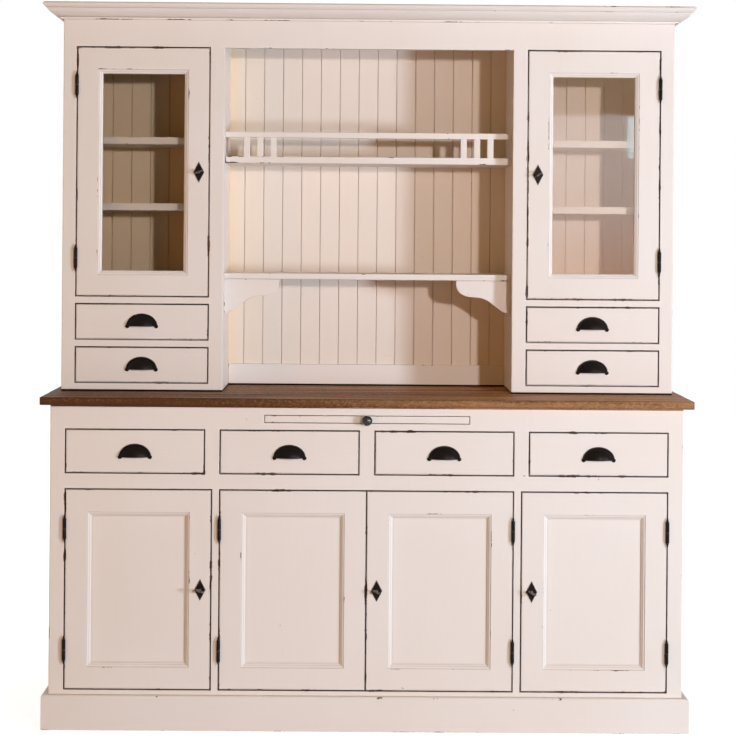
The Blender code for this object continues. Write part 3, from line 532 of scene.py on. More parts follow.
class Shell:
    """A mesh under construction, with a value for wear and one for grime and painted shade at each
    point.
    """

    def __init__(self, node: str | None = None) -> None:
        """Starts empty, or with a merged copy of a CAD node.

        Args:
            node: The node to copy.
        """
        self.bm = bmesh.new()
        if node:
            self.bm.from_mesh(frame["nodes"][node].data)
            bmesh.ops.remove_doubles(self.bm, verts=self.bm.verts, dist=WELDED)
            self.join_flat()
        # Grime, and painted shade in gaps, grooves, creases and at feet, share one value.
        floats = self.bm.verts.layers.float
        for name in ("wear", "grime"):
            floats.new(name)
        self.wear, self.grime = floats["wear"], floats["grime"]

    def join_flat(self) -> None:
        """Makes one face of those that lie flat beside one another."""
        bmesh.ops.dissolve_limit(
            self.bm, angle_limit=FLAT, verts=self.bm.verts, edges=self.bm.edges
        )

    def point(
        self, place: Sequence[float], wear: float = 0.0, grime: float = 0.0
    ) -> bmesh.types.BMVert:
        """Adds one point.

        Args:
            place: Where it is.
            wear: Its wear.
            grime: Its grime and painted shade.

        Returns:
            The point.
        """
        vert = self.bm.verts.new(place)
        vert[self.wear], vert[self.grime] = wear, grime
        return vert

    def mark(self, verts: Iterable[bmesh.types.BMVert], wear: float) -> None:
        """Sets the wear of some points."""
        for vert in verts:
            vert[self.wear] = wear

    def rings(self, rect: Rect, *steps: tuple[float, ...]) -> list[Verts]:
        """Adds loops of four points that face the front.

        Args:
            rect: The left, right, lower and upper sides that they start from.
            steps: How far each loop is drawn in, its place along Y, its wear, and its grime and
                painted shade.

        Returns:
            The loops.
        """
        loops = []
        for inset, depth, *marks in steps:
            left, right, low, high = shrunk(rect, inset)
            corners = ((left, low), (right, low), (right, high), (left, high))
            loops.append([self.point((across, depth, up), *marks) for across, up in corners])
        return loops

    def skin(self, loops: Sequence[Verts], closed: bool = True) -> None:
        """Joins loops of points in a row.

        Args:
            loops: The loops, each as long as the next.
            closed: Whether each loop's end meets its start.
        """
        for first, second in zip(loops, loops[1:]):
            count = len(first)
            for index in range(count if closed else count - 1):
                after = (index + 1) % count
                self.bm.faces.new((first[index], first[after], second[after], second[index]))

    def solid(self, loops: Sequence[Verts]) -> None:
        """Joins loops of points in a row and fills both ends."""
        self.skin(loops)
        for end in (loops[0], loops[-1]):
            self.bm.faces.new(end)

    def box(
        self, low: Place, high: Place, radius: float, wear: float, border: float, grime: float = 0.0
    ) -> None:
        """Adds a board with rounded edges and a worn border on each face.

        Args:
            low: Its lowest corner.
            high: Its highest corner.
            radius: How round its edges are.
            wear: The wear on its edges.
            border: How far the wear reaches in from an edge.
            grime: The grime and painted shade all over it.
        """
        known = set(self.bm.faces)
        low, high = Vector(low), Vector(high)
        fit = Matrix.Translation((low + high) / 2) @ Matrix.Diagonal((high - low).to_4d())
        cube = bmesh.ops.create_cube(self.bm, size=1, matrix=fit)
        edges = list({edge for vert in cube["verts"] for edge in vert.link_edges})
        bevel = {"offset": radius, "segments": 3, "profile": 0.5, "affect": "EDGES"}
        rounded = set(bmesh.ops.bevel(self.bm, geom=edges, **bevel)["faces"])
        faces = [face for face in self.bm.faces if face not in known]
        for vert in {vert for face in faces for vert in face.verts}:
            vert[self.wear], vert[self.grime] = wear, grime
        for face in faces:
            if face not in rounded:
                reach = min(border, min(edge.calc_length() for edge in face.edges) * 0.3)
                bmesh.ops.inset_individual(
                    self.bm, faces=[face], thickness=reach, use_even_offset=True
                )
                self.mark(face.verts, 0.0)

    def soften(self, radius: float, wear: float, border: float) -> None:
        """Rounds every sharp edge and gives each flat region a worn border.

        Args:
            radius: How round the edges become.
            wear: The wear on them.
            border: How far the wear reaches in from an edge.
        """
        sharp = [
            edge
            for edge in self.bm.edges
            if len(edge.link_faces) == 2 and edge.calc_face_angle(0.0) > SHARP
        ]
        bevel = {"offset": radius, "segments": 2, "profile": 0.5, "affect": "EDGES"}
        made = bmesh.ops.bevel(self.bm, geom=sharp, clamp_overlap=True, **bevel)
        self.mark(self.bm.verts, wear)
        for region in self.flat_regions(set(made["faces"])):
            corners = [vert.co for face in region for vert in face.verts]
            spans = sorted(
                max(corner[axis] for corner in corners) - min(corner[axis] for corner in corners)
                for axis in range(3)
            )
            if spans[1] >= border * 2.5:
                bmesh.ops.inset_region(
                    self.bm, faces=region, thickness=border, use_boundary=True, use_even_offset=True
                )
                self.mark({vert for face in region for vert in face.verts}, 0.0)

    def flat_regions(self, skipped: set[bmesh.types.BMFace]) -> list[list[bmesh.types.BMFace]]:
        """Finds the faces that lie smoothly beside one another.

        Args:
            skipped: Faces that belong to no region.

        Returns:
            The faces of each region.
        """
        seen = set(skipped)
        regions = []
        for start in list(self.bm.faces):
            if start in seen:
                continue
            seen.add(start)
            region = [start]
            for face in region:
                for other in (other for edge in face.edges for other in edge.link_faces):
                    if other not in seen and other.normal.dot(face.normal) > ALIKE:
                        seen.add(other)
                        region.append(other)
            regions.append(region)
        return regions

    def turned(
        self, profile: Sequence[tuple[float, float]], fit: Matrix, sides: int, wear: float
    ) -> None:
        """Adds a shape turned about an axis.

        Args:
            profile: Its radius and place along the axis, from one end to the other.
            fit: Where its own Z axis lies.
            sides: How many faces go round it.
            wear: The wear where the profile turns sharply.
        """
        spots = [Vector(spot) for spot in profile]
        turns = [2 * pi * side / sides for side in range(sides)]
        loops = []
        for index, (radius, along) in enumerate(profile):
            rubbed = 0.0
            if 0 < index < len(profile) - 1:
                before, after = spots[index] - spots[index - 1], spots[index + 1] - spots[index]
                if before.length > 0 and after.length > 0 and before.angle(after) > CORNER:
                    rubbed = wear
            line = [Vector((radius * cos(turn), radius * sin(turn), along)) for turn in turns]
            loops.append([self.point(fit @ spot, rubbed) for spot in line])
        self.solid(loops)

    def piece(
        self, name: str, material: bpy.types.Material, angle: float = 24.0
    ) -> bpy.types.Object:
        """Ends the work as an object in the scene.

        Args:
            name: Its name.
            material: What it is made of.
            angle: The sharpest edge, in degrees, that still shades smoothly.

        Returns:
            The object, with its faces outwards.
        """
        bmesh.ops.remove_doubles(self.bm, verts=self.bm.verts, dist=MERGED)
        bmesh.ops.dissolve_degenerate(self.bm, dist=MERGED, edges=self.bm.edges)
        bmesh.ops.recalc_face_normals(self.bm, faces=self.bm.faces)
        mesh = bpy.data.meshes.new(name)
        self.bm.to_mesh(mesh)
        self.bm.free()
        mesh.shade_smooth()
        mesh.set_sharp_from_angle(angle=radians(angle))
        mesh.materials.append(material)
        return shown(bpy.data.objects.new(name, mesh))

    def dress(self, node: str, finish: Finish, angle: float = 24.0, name: str = "") -> None:
        """Ends the work as a piece in a node's place, or, with its own name, on the node's body."""
        settle(self.piece(name or node, finish.material, angle), node, not name)


def shown(obj: bpy.types.Object) -> bpy.types.Object:
    """Links an object to the scene."""
    bpy.context.scene.collection.objects.link(obj)
    return obj


def settle(obj: bpy.types.Object, node: str, stands_in: bool) -> None:
    """Hands a finished piece to the frame.

    Args:
        obj: The piece.
        node: The CAD node whose body it rides on.
        stands_in: Whether it takes the node's place.
    """
    body = frame["nodes"][node]["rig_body"]
    if stands_in:
        obj.name = node + "_dressed"
    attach(obj, body)
    if stands_in:
        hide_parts(node)
    log.info("%s: %d faces on %s", obj.name, len(obj.data.polygons), body)


# Repeated pieces


class Repeater(Tree):
    """A tree of geometry nodes that sets one shape on many points."""

    def __init__(self, name: str, seed: int = 7) -> None:
        """Builds the tree.

        Args:
            name: Its name.
            seed: What the tone of each copy is drawn from.
        """
        super().__init__(bpy.data.node_groups.new(name, "GeometryNodeTree"))
        face = self.tree.interface
        face.new_socket("Geometry", in_out="INPUT", socket_type="NodeSocketGeometry")
        self.keys = {}
        for label, kind in (
            ("Shape", "Object"), ("Count", "Int"), ("Pitch", "Vector"), ("Limit", "Float"),
            ("Finish", "Material"),
        ):
            socket = face.new_socket(label, in_out="INPUT", socket_type="NodeSocket" + kind)
            self.keys[label] = socket.identifier
        face.new_socket("Geometry", in_out="OUTPUT", socket_type="NodeSocketGeometry")
        given = self.add("NodeGroupInput", {}).outputs

        line = {"Count": given["Count"], "Offset": given["Pitch"]}
        row = self.chain("MeshLine", line, mode="OFFSET")
        rows = self.chain("InstanceOnPoints", {"Points": given["Geometry"], "Instance": row})
        spots = self.chain("RealizeInstances", {"Geometry": rows})
        shape = self.add("GeometryNodeObjectInfo", {"Object": given["Shape"]}).outputs["Geometry"]
        copies = self.chain("InstanceOnPoints", {"Points": spots, "Instance": shape})
        drawn = self.add("FunctionNodeRandomValue", {"Seed": seed}, data_type="FLOAT")
        tone = next(output for output in drawn.outputs if output.type == "VALUE")
        toned = {"Geometry": copies, "Name": "tone", "Value": tone}
        toned = self.chain("StoreNamedAttribute", toned, domain="INSTANCE", data_type="FLOAT")
        real = self.chain("RealizeInstances", {"Geometry": toned})

        place = self.chain("InputPosition", {})
        across, inward, up = self.add("ShaderNodeSeparateXYZ", {"Vector": place}).outputs
        across = self.maths("MINIMUM", across, given["Limit"])
        across = self.maths("MAXIMUM", across, self.maths("MULTIPLY", given["Limit"], -1.0))
        held = self.add("ShaderNodeCombineXYZ", {"X": across, "Y": inward, "Z": up}).outputs[0]
        trimmed = self.chain("SetPosition", {"Geometry": real, "Position": held})
        dressed = self.chain("SetMaterial", {"Geometry": trimmed, "Material": given["Finish"]})
        self.add("NodeGroupOutput", {"Geometry": dressed})

    def chain(self, kind: str, inputs: dict[str | int, Value], **settings: str) -> Socket:
        """Adds a geometry node and hands out its first output."""
        return self.add("GeometryNode" + kind, inputs, **settings).outputs[0]

    def set_out(
        self,
        name: str,
        shell: Shell,
        starts: Sequence[Place],
        finish: Finish,
        count: int = 1,
        pitch: float = 0.0,
        limit: float = 10.0,
    ) -> bpy.types.Object:
        """Sets a shape out in rows.

        Args:
            name: The name of the piece.
            shell: The shape, about the origin.
            starts: Where each row starts.
            finish: The finish.
            count: How many there are in a row.
            pitch: The step along X from one to the next.
            limit: How far from the middle the piece may reach along X.

        Returns:
            The piece as a plain mesh.
        """
        shape = shell.piece(name + "_shape", finish.material)
        spots = bpy.data.meshes.new(name + "_spots")
        spots.from_pydata(list(starts), [], [])
        holder = shown(bpy.data.objects.new(name + "_row", spots))
        modifier = holder.modifiers.new("set_out", "NODES")
        modifier.node_group = self.tree
        for label, value in (
            ("Shape", shape), ("Count", count), ("Pitch", (pitch, 0.0, 0.0)), ("Limit", limit),
            ("Finish", finish.material),
        ):
            modifier[self.keys[label]] = value
        bpy.context.view_layer.update()
        graph = bpy.context.evaluated_depsgraph_get()
        mesh = bpy.data.meshes.new_from_object(holder.evaluated_get(graph))
        mesh.name = name
        for helper in (holder, shape):
            bpy.data.objects.remove(helper)
        return shown(bpy.data.objects.new(name, mesh))


def nail_head(radius: float, turn: float = -pi / 2) -> Shell:
    """A low round head that faces along Y.

    Args:
        radius: Its radius.
        turn: Its turn about X; the default faces the back.

    Returns:
        The head.
    """
    shell = Shell()
    rise = radius * 0.12
    shares = ((0.3, 1.0), (0.8, 0.8), (1.0, 0.2), (1.0, -1.0))
    profile = [(radius * wide, rise * high) for wide, high in shares]
    shell.turned(profile, Matrix.Rotation(turn, 4, "X"), 10, 1.0)
    return shell


# Fixed woodwork


@dataclass
class FaceFrame:
    """A frame of stiles and rails in one flat face, open for the fronts that close it."""

    node: str
    fronts: tuple[str, ...]
    bay: str | None = None
    header: float = 0.0
    reveal: float = 0.003
    radius: float = 0.0012
    wear: float = 0.52
    border: float = 0.0035
    unworn: float = 0.006
    stands: bool = True
    faint: str = "pull_out_board"
    faint_share: float = 0.75

    def openings(self) -> dict[str, Rect]:
        """Finds the openings.

        Returns:
            That of each front, with its reveal, and that of the bay if the frame has one.
        """
        openings = {}
        for front in self.fronts:
            share = self.faint_share if front == self.faint else 1.0
            openings[front] = shrunk(front_of(front)[0], -self.reveal * share)
        if self.bay:
            low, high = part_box(self.bay)
            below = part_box(self.node)[0].z - 0.05
            openings["bay"] = (low.x - HAIR, high.x + HAIR, below, self.header)
        return openings

    def build(self, finishes: Finishes) -> None:
        """Cuts the frame out of a grid of cells and dresses it.

        Args:
            finishes: The finishes.
        """
        rect, front, back = front_of(self.node)
        openings = self.openings()
        gaps = openings.values()
        lines_x = sorted({*rect[:2], *(x for gap in gaps for x in gap[:2])})
        lines_z = sorted({*rect[2:], *(z for gap in gaps for z in gap[2:] if z > rect[2])})
        shell = Shell()
        grid = {}

        def corner(i: int, j: int, depth: float) -> bmesh.types.BMVert:
            """Finds or adds the point at a crossing of two lines.

            Args:
                i: The upright line.
                j: The level line.
                depth: The place along Y.

            Returns:
                The point.
            """
            key = (i, j, depth)
            if key not in grid:
                grid[key] = shell.point((lines_x[i], depth, lines_z[j]))
            return grid[key]

        def solid(i: int, j: int) -> bool:
            """Tells wood from opening.

            Args:
                i: The line on the left of the cell.
                j: The line under it.

            Returns:
                Whether the cell is wood.
            """
            if not (0 <= i < len(lines_x) - 1 and 0 <= j < len(lines_z) - 1):
                return False
            x = (lines_x[i] + lines_x[i + 1]) / 2
            z = (lines_z[j] + lines_z[j + 1]) / 2
            return not any(gap[0] < x < gap[1] and gap[2] < z < gap[3] for gap in gaps)

        cells = [(i, j) for i in range(len(lines_x) - 1) for j in range(len(lines_z) - 1)]
        for i, j in (cell for cell in cells if solid(*cell)):
            spots = ((i, j), (i + 1, j), (i + 1, j + 1), (i, j + 1))
            for depth in (front, back):
                shell.bm.faces.new([corner(*spot, depth) for spot in spots])
            walls = {(i - 1, j): (0, 3), (i + 1, j): (1, 2), (i, j - 1): (0, 1), (i, j + 1): (3, 2)}
            for beside, (start, end) in walls.items():
                if not solid(*beside):
                    around = ((start, front), (end, front), (end, back), (start, back))
                    shell.bm.faces.new([corner(*spots[spot], depth) for spot, depth in around])
        bmesh.ops.recalc_face_normals(shell.bm, faces=shell.bm.faces)
        shell.join_flat()
        shell.soften(self.radius, self.wear, self.border)
        # Painted shade in the reveals.
        self.shade_reveals(shell, front, openings)
        shell.mark((vert for vert in shell.bm.verts if vert.co.z > rect[3] - self.unworn), 0.0)
        # A painted contact shadow along the foot.
        if self.stands:
            shade_foot(shell, rect[2])
        shell.dress(self.node, finishes.upright)

    def shade_reveals(self, shell: Shell, front: float, openings: dict[str, Rect]) -> None:
        """Paints shade on the narrow faces that look into a reveal.

        Args:
            shell: The frame.
            front: The frame's front along Y.
            openings: The frame's openings.
        """
        openings = {name: rect for name, rect in openings.items() if name != "bay"}
        for vert in shell.bm.verts:
            x, y, z = vert.co
            for name, (left, right, low, high) in openings.items():
                faint = name == self.faint
                out = max(left - x, x - right, low - z, z - high)
                if faint and out < 0.006:
                    vert[shell.wear] *= 0.6
                # Painted shade on the faces inside the gap, fainter round the pull-out board.
                if y > front + self.radius * 0.9 and abs(out) < 0.0006:
                    vert[shell.grime] = 0.4 if faint else 0.9
                elif y > front + self.radius * 0.1 and abs(out) < self.radius * 0.8:
                    vert[shell.grime] = 0.15 if faint else 0.55


@dataclass
class BaseFrame(FaceFrame):
    """The base's face frame, whose middle pair of doors shares one opening."""

    pair: tuple[str, str] = ("base_door_mid_left", "base_door_mid_right")

    def openings(self) -> dict[str, Rect]:
        """Finds the openings.

        Returns:
            The pair's one, then the others.
        """
        left, right = (front_of(door)[0] for door in self.pair)
        both = shrunk((left[0], right[1], left[2], left[3]), -self.reveal)
        return {"pair": both, **super().openings()}


def shade_foot(shell: Shell, foot: float, line: float = 0.0049, border: float = HAIR) -> None:
    """Paints a contact shadow along the lowest edge of a piece, where it stands on the worktop.

    Args:
        shell: The piece.
        foot: Its lowest height.
        line: How high the painted shadow line is.
        border: How far above and below that height the piece is cut.
    """
    for height in (foot + line - border, foot + line + border):
        geometry = [*shell.bm.verts, *shell.bm.edges, *shell.bm.faces]
        bmesh.ops.bisect_plane(
            shell.bm, geom=geometry, plane_co=(0.0, 0.0, height), plane_no=(0.0, 0.0, 1.0)
        )
    for vert in shell.bm.verts:
        above = vert.co.z - foot
        if above < 0.008:
            vert[shell.wear] = 0.0
            # A value of two paints the near-black contact shadow.
            vert[shell.grime] = 2.0 if above < line else 0.0


@dataclass
class SoftenedCopy:
    """A fixed piece whose solid already has the right shape, with its edges rounded and worn."""

    node: str
    upright: bool = True
    radius: float = 0.001
    wear: float = 0.45
    border: float = 0.003
    stands: bool = False
    # Whether the paint inside yellows, which also paints warm shade.
    yellowed_and_shaded: bool = False

    def build(self, finishes: Finishes) -> None:
        """Copies the solid, rounds it and dresses it.

        Args:
            finishes: The finishes.
        """
        shell = Shell(self.node)
        shell.soften(self.radius, self.wear, self.border)
        if self.yellowed_and_shaded:
            self.age(shell)
        # A painted contact shadow along the foot.
        if self.stands:
            shade_foot(shell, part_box(self.node)[0].z)
        shell.dress(self.node, finishes.upright if self.upright else finishes.level)

    def age(self, shell: Shell) -> None:
        """Yellows the paint inside the cabinets, and less so on the sides of the bay, which also
        paints their warm shade.

        Args:
            shell: The piece.
        """
        (low, high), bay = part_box(self.node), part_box("gallery_shelf")[1].x
        layer = shell.bm.verts.layers.float.new("tone")
        for inner, outer, front, tone in (
            (bay + 0.004, high.x - 0.004, low.y + 0.07, 2.0),
            (bay - 0.004, bay + 0.004, low.y + 0.05, 1.4),
        ):
            for vert in shell.bm.verts:
                if inner < abs(vert.co.x) < outer and vert.co.y > front:
                    vert[layer] = tone


@dataclass
class WrappedMoulding:
    """A moulding round the front and both sides of a body, mitred at the corners."""

    node: str
    body: str
    points: Sequence[tuple[float, float]]
    wears: dict[int, float] = field(default_factory=dict)
    # Grime and painted shade at some points of the section.
    grime_and_shade_marks: dict[int, float] = field(default_factory=dict)

    def build(self, finishes: Finishes) -> None:
        """Sweeps the section, which gives the reach outwards and the height of each point.

        Args:
            finishes: The finishes.
        """
        (low, high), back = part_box(self.body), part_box(self.node)[1].y
        shell = Shell()
        loops = []
        for index, (reach, height) in enumerate(self.points):
            out, front = high.x + reach, low.y - reach
            path = ((-out, back), (-out, front), (out, front), (out, back))
            marks = self.wears.get(index, 0.0), self.grime_and_shade_marks.get(index, 0.0)
            loops.append([shell.point((x, y, height), *marks) for x, y in path])
        shell.skin([*loops, loops[0]], closed=False)
        for end in (0, -1):
            shell.bm.faces.new([loop[end] for loop in loops])
        shell.dress(self.node, finishes.level, 30.0)


@dataclass
class Worktop:
    """A waxed board of three planks with a thin batten under it."""

    node: str = "worktop"
    thickness: float = 0.022
    radius: float = 0.003
    joint_radius: float = 0.0015
    planks: int = 3
    batten_inset: float = 0.026

    def build(self, finishes: Finishes) -> None:
        """Makes the planks and the batten.

        Args:
            finishes: The finishes.
        """
        low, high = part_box(self.node)
        under, depth = high.z - self.thickness, (high.y - low.y) / self.planks
        shell = Shell()
        for index in range(self.planks):
            start = low.y + index * depth
            radius = self.joint_radius if index else self.radius
            shell.box((low.x, start, under), (high.x, start + depth, high.z), radius, 1.0, 0.006)
        # Painted shade on the front face, so that it reads darker than the top.
        for vert in shell.bm.verts:
            if vert.co.y < low.y + self.radius * 1.1:
                vert[shell.grime] = 1.0
        corner = low + self.batten_inset * Vector((1.0, 1.0, 0.0))
        end = (high.x - self.batten_inset, high.y, under + 0.001)
        shell.box(corner, end, 0.0008, 1.0, 0.002)
        shell.dress(self.node, finishes.worktop)


@dataclass
class BoardedBack:
    """Tongued boards with a V at each joint, nailed in rows."""

    node: str = "hutch_back_boards"
    pitch: float = 0.0568
    groove: float = 0.0021
    groove_depth: float = 0.0026
    slot: float = 0.0002
    wear: float = 0.15
    nail_rows: tuple[float, ...] = (0.03, 0.28, 0.62)
    nail_space: float = 0.014

    def board(self, low: Vector, high: Vector) -> Shell:
        """One board about its own middle.

        Args:
            low: The lowest corner of the whole back.
            high: Its highest corner.

        Returns:
            The board.
        """
        front, back = low.y, high.y
        edge, arris = self.pitch / 2 - self.slot, self.pitch / 2 - self.groove
        bottom = front + self.groove_depth
        # Each point's last two values are wear and painted shade, which darkens the groove.
        half = (
            (edge, back, 0.0, 0.1), (edge, bottom + 0.002, 0.0, 0.2), (edge, bottom, 0.1, 0.16),
            (arris + 0.0004, front + 0.0006, self.wear, 0.04), (arris, front, self.wear, 0.0),
            (arris - 0.003, front, 0.0, 0.0),
        )
        section = [(-x, *rest) for x, *rest in half] + list(reversed(half))
        shell = Shell()
        ends = (low.z, high.z)
        shell.solid([[shell.point((x, y, z), *marks) for x, y, *marks in section] for z in ends])
        # Painted shade on the tongue, seen through the slot.
        tongue = ((edge - 0.002, bottom + 0.002, low.z), (edge + 0.003, back - 0.004, high.z))
        shell.box(*tongue, 0.0003, 0.0, 0.001, 0.2)
        return shell

    def build(self, finishes: Finishes, repeater: Repeater) -> None:
        """Sets the boards side by side and nails them at the back.

        Args:
            finishes: The finishes.
            repeater: What sets the repeated pieces out.
        """
        low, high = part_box(self.node)
        each_side = floor(high.x / self.pitch - 0.5) + 1
        first = -each_side * self.pitch
        row = (2 * each_side + 1, self.pitch, high.x)
        start = [(first, 0.0, 0.0)]
        boards = repeater.set_out(self.node, self.board(low, high), start, finishes.upright, *row)
        self.age(boards.data, high.y - 0.002)
        settle(boards, self.node, True)
        starts = [
            (first + side, high.y - SUNK, height)
            for height in (*(low.z + rise for rise in self.nail_rows), high.z - self.nail_rows[0])
            for side in (-self.nail_space, self.nail_space)
        ]
        nails = repeater.set_out("hutch_back_nails", nail_head(0.0032), starts, finishes.iron, *row)
        settle(nails, self.node, False)

    def age(self, mesh: bpy.types.Mesh, back: float) -> None:
        """Yellows the fronts of the boards, which also paints warm shade: the left ones most, and
        those of the bay at its ends.

        Args:
            mesh: The finished boards.
            back: The place along Y up to which they yellow.
        """
        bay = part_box("gallery_shelf")[1].x
        for vert, tone in zip(mesh.vertices, mesh.attributes["tone"].data):
            across = vert.co.x
            if vert.co.y > back:
                continue
            if across < -bay:
                tone.value = 1.90 + 0.10 * tone.value
            elif across > bay:
                tone.value = 1.28 + 0.15 * tone.value
            else:
                tone.value = 1.12 + 0.28 * (across / bay) ** 2 + 0.10 * tone.value


@dataclass
class BackPanel:
    """The base's thin back panel, nailed round its edge."""

    node: str = "base_back_panel"
    inset: float = 0.011
    nails: int = 12
    lower_row: float = 0.04
    middle_row: float = 0.39

    def build(self, finishes: Finishes, repeater: Repeater) -> None:
        """Makes the panel and its nails.

        Args:
            finishes: The finishes.
            repeater: What sets the repeated pieces out.
        """
        low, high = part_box(self.node)
        shell = Shell()
        shell.box(low, high, 0.0008, 0.8, 0.004)
        shell.dress(self.node, finishes.pine)
        pitch = (high.x - low.x - 2 * self.inset) / (self.nails - 1)
        heights = (low.z + self.lower_row, self.middle_row, high.z - self.inset)
        starts = [(low.x + self.inset, high.y - SUNK, height) for height in heights]
        row = (self.nails, pitch)
        nails = repeater.set_out("base_back_nails", nail_head(0.0035), starts, finishes.iron, *row)
        settle(nails, self.node, False)


@dataclass
class GalleryShelf:
    """A shelf with a rail on three square balusters at each end."""

    node: str = "gallery_shelf"
    shelf_thickness: float = 0.0195
    rail_thickness: float = 0.017
    baluster: float = 0.018
    pitch: float = 0.0385
    end_space: float = 0.053
    each_end: int = 3

    def build(self, finishes: Finishes, repeater: Repeater) -> None:
        """Makes the boards and sets out the balusters.

        Args:
            finishes: The finishes.
            repeater: What sets the repeated pieces out.
        """
        low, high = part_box(self.node)
        shelf_top, rail_low = low.z + self.shelf_thickness, high.z - self.rail_thickness
        shell = Shell()
        rail_back = low.y + self.baluster
        shell.box(low, (high.x, high.y, shelf_top), 0.0018, 0.5, 0.0035)
        shell.box((low.x, low.y, rail_low), (high.x, rail_back, high.z), 0.0018, 0.5, 0.0035)
        shell.dress(self.node, finishes.level)

        post = Shell()
        half = self.baluster / 2
        lap = 0.001
        post.box((-half, -half, shelf_top - lap), (half, half, rail_low + lap), 0.0012, 0.4, 0.003)
        depth = low.y + half + 2 * HAIR
        outermost = high.x + HAIR - self.end_space - half
        inner = outermost - (self.each_end - 1) * self.pitch
        starts, row = [(-outermost, depth, 0.0), (inner, depth, 0.0)], (self.each_end, self.pitch)
        posts = repeater.set_out("gallery_balusters", post, starts, finishes.upright, *row)
        settle(posts, self.node, False)


# Ironmongery


@dataclass
class PinHinge:
    """A pin hinge with a turned tip at each end and two knuckles."""

    node: str
    barrel: float = 0.0048
    finial: float = 0.012
    knuckle_gap: float = 0.0009
    leaf_half: float = 0.0012

    TIP = (
        (0.02, 1.0), (0.22, 0.97), (0.36, 0.86), (0.40, 0.76), (0.30, 0.64), (0.34, 0.58),
        (0.58, 0.50), (0.66, 0.40), (0.60, 0.28), (0.52, 0.20), (0.70, 0.12), (0.92, 0.06),
        (1.0, -0.04),
    )

    def build(self, finishes: Finishes) -> None:
        """Turns the hinge.

        Args:
            finishes: The finishes.
        """
        low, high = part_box(self.node)
        centre = middle(self.node, low.y + self.barrel)
        shoulder = (high.z - low.z) / 2 - self.finial
        upper = [(r * self.barrel, shoulder + t * self.finial) for r, t in self.TIP]
        gap = self.knuckle_gap / 2
        upper += [(self.barrel * r, gap * t) for r, t in ((1.0, 2.4), (0.94, 1.0), (0.8, 0.4))]
        profile = upper + [(radius, -height) for radius, height in reversed(upper)]
        shell = Shell()
        shell.turned(profile, Matrix.Translation(centre), 20, 0.9)
        leaf_low = centre - Vector((self.leaf_half, 0.0, shoulder))
        leaf_high = (centre.x + self.leaf_half, high.y, centre.z + shoulder)
        shell.box(leaf_low, leaf_high, 0.0002, 0.6, 0.0005)
        shell.dress(self.node, finishes.iron, 34.0)


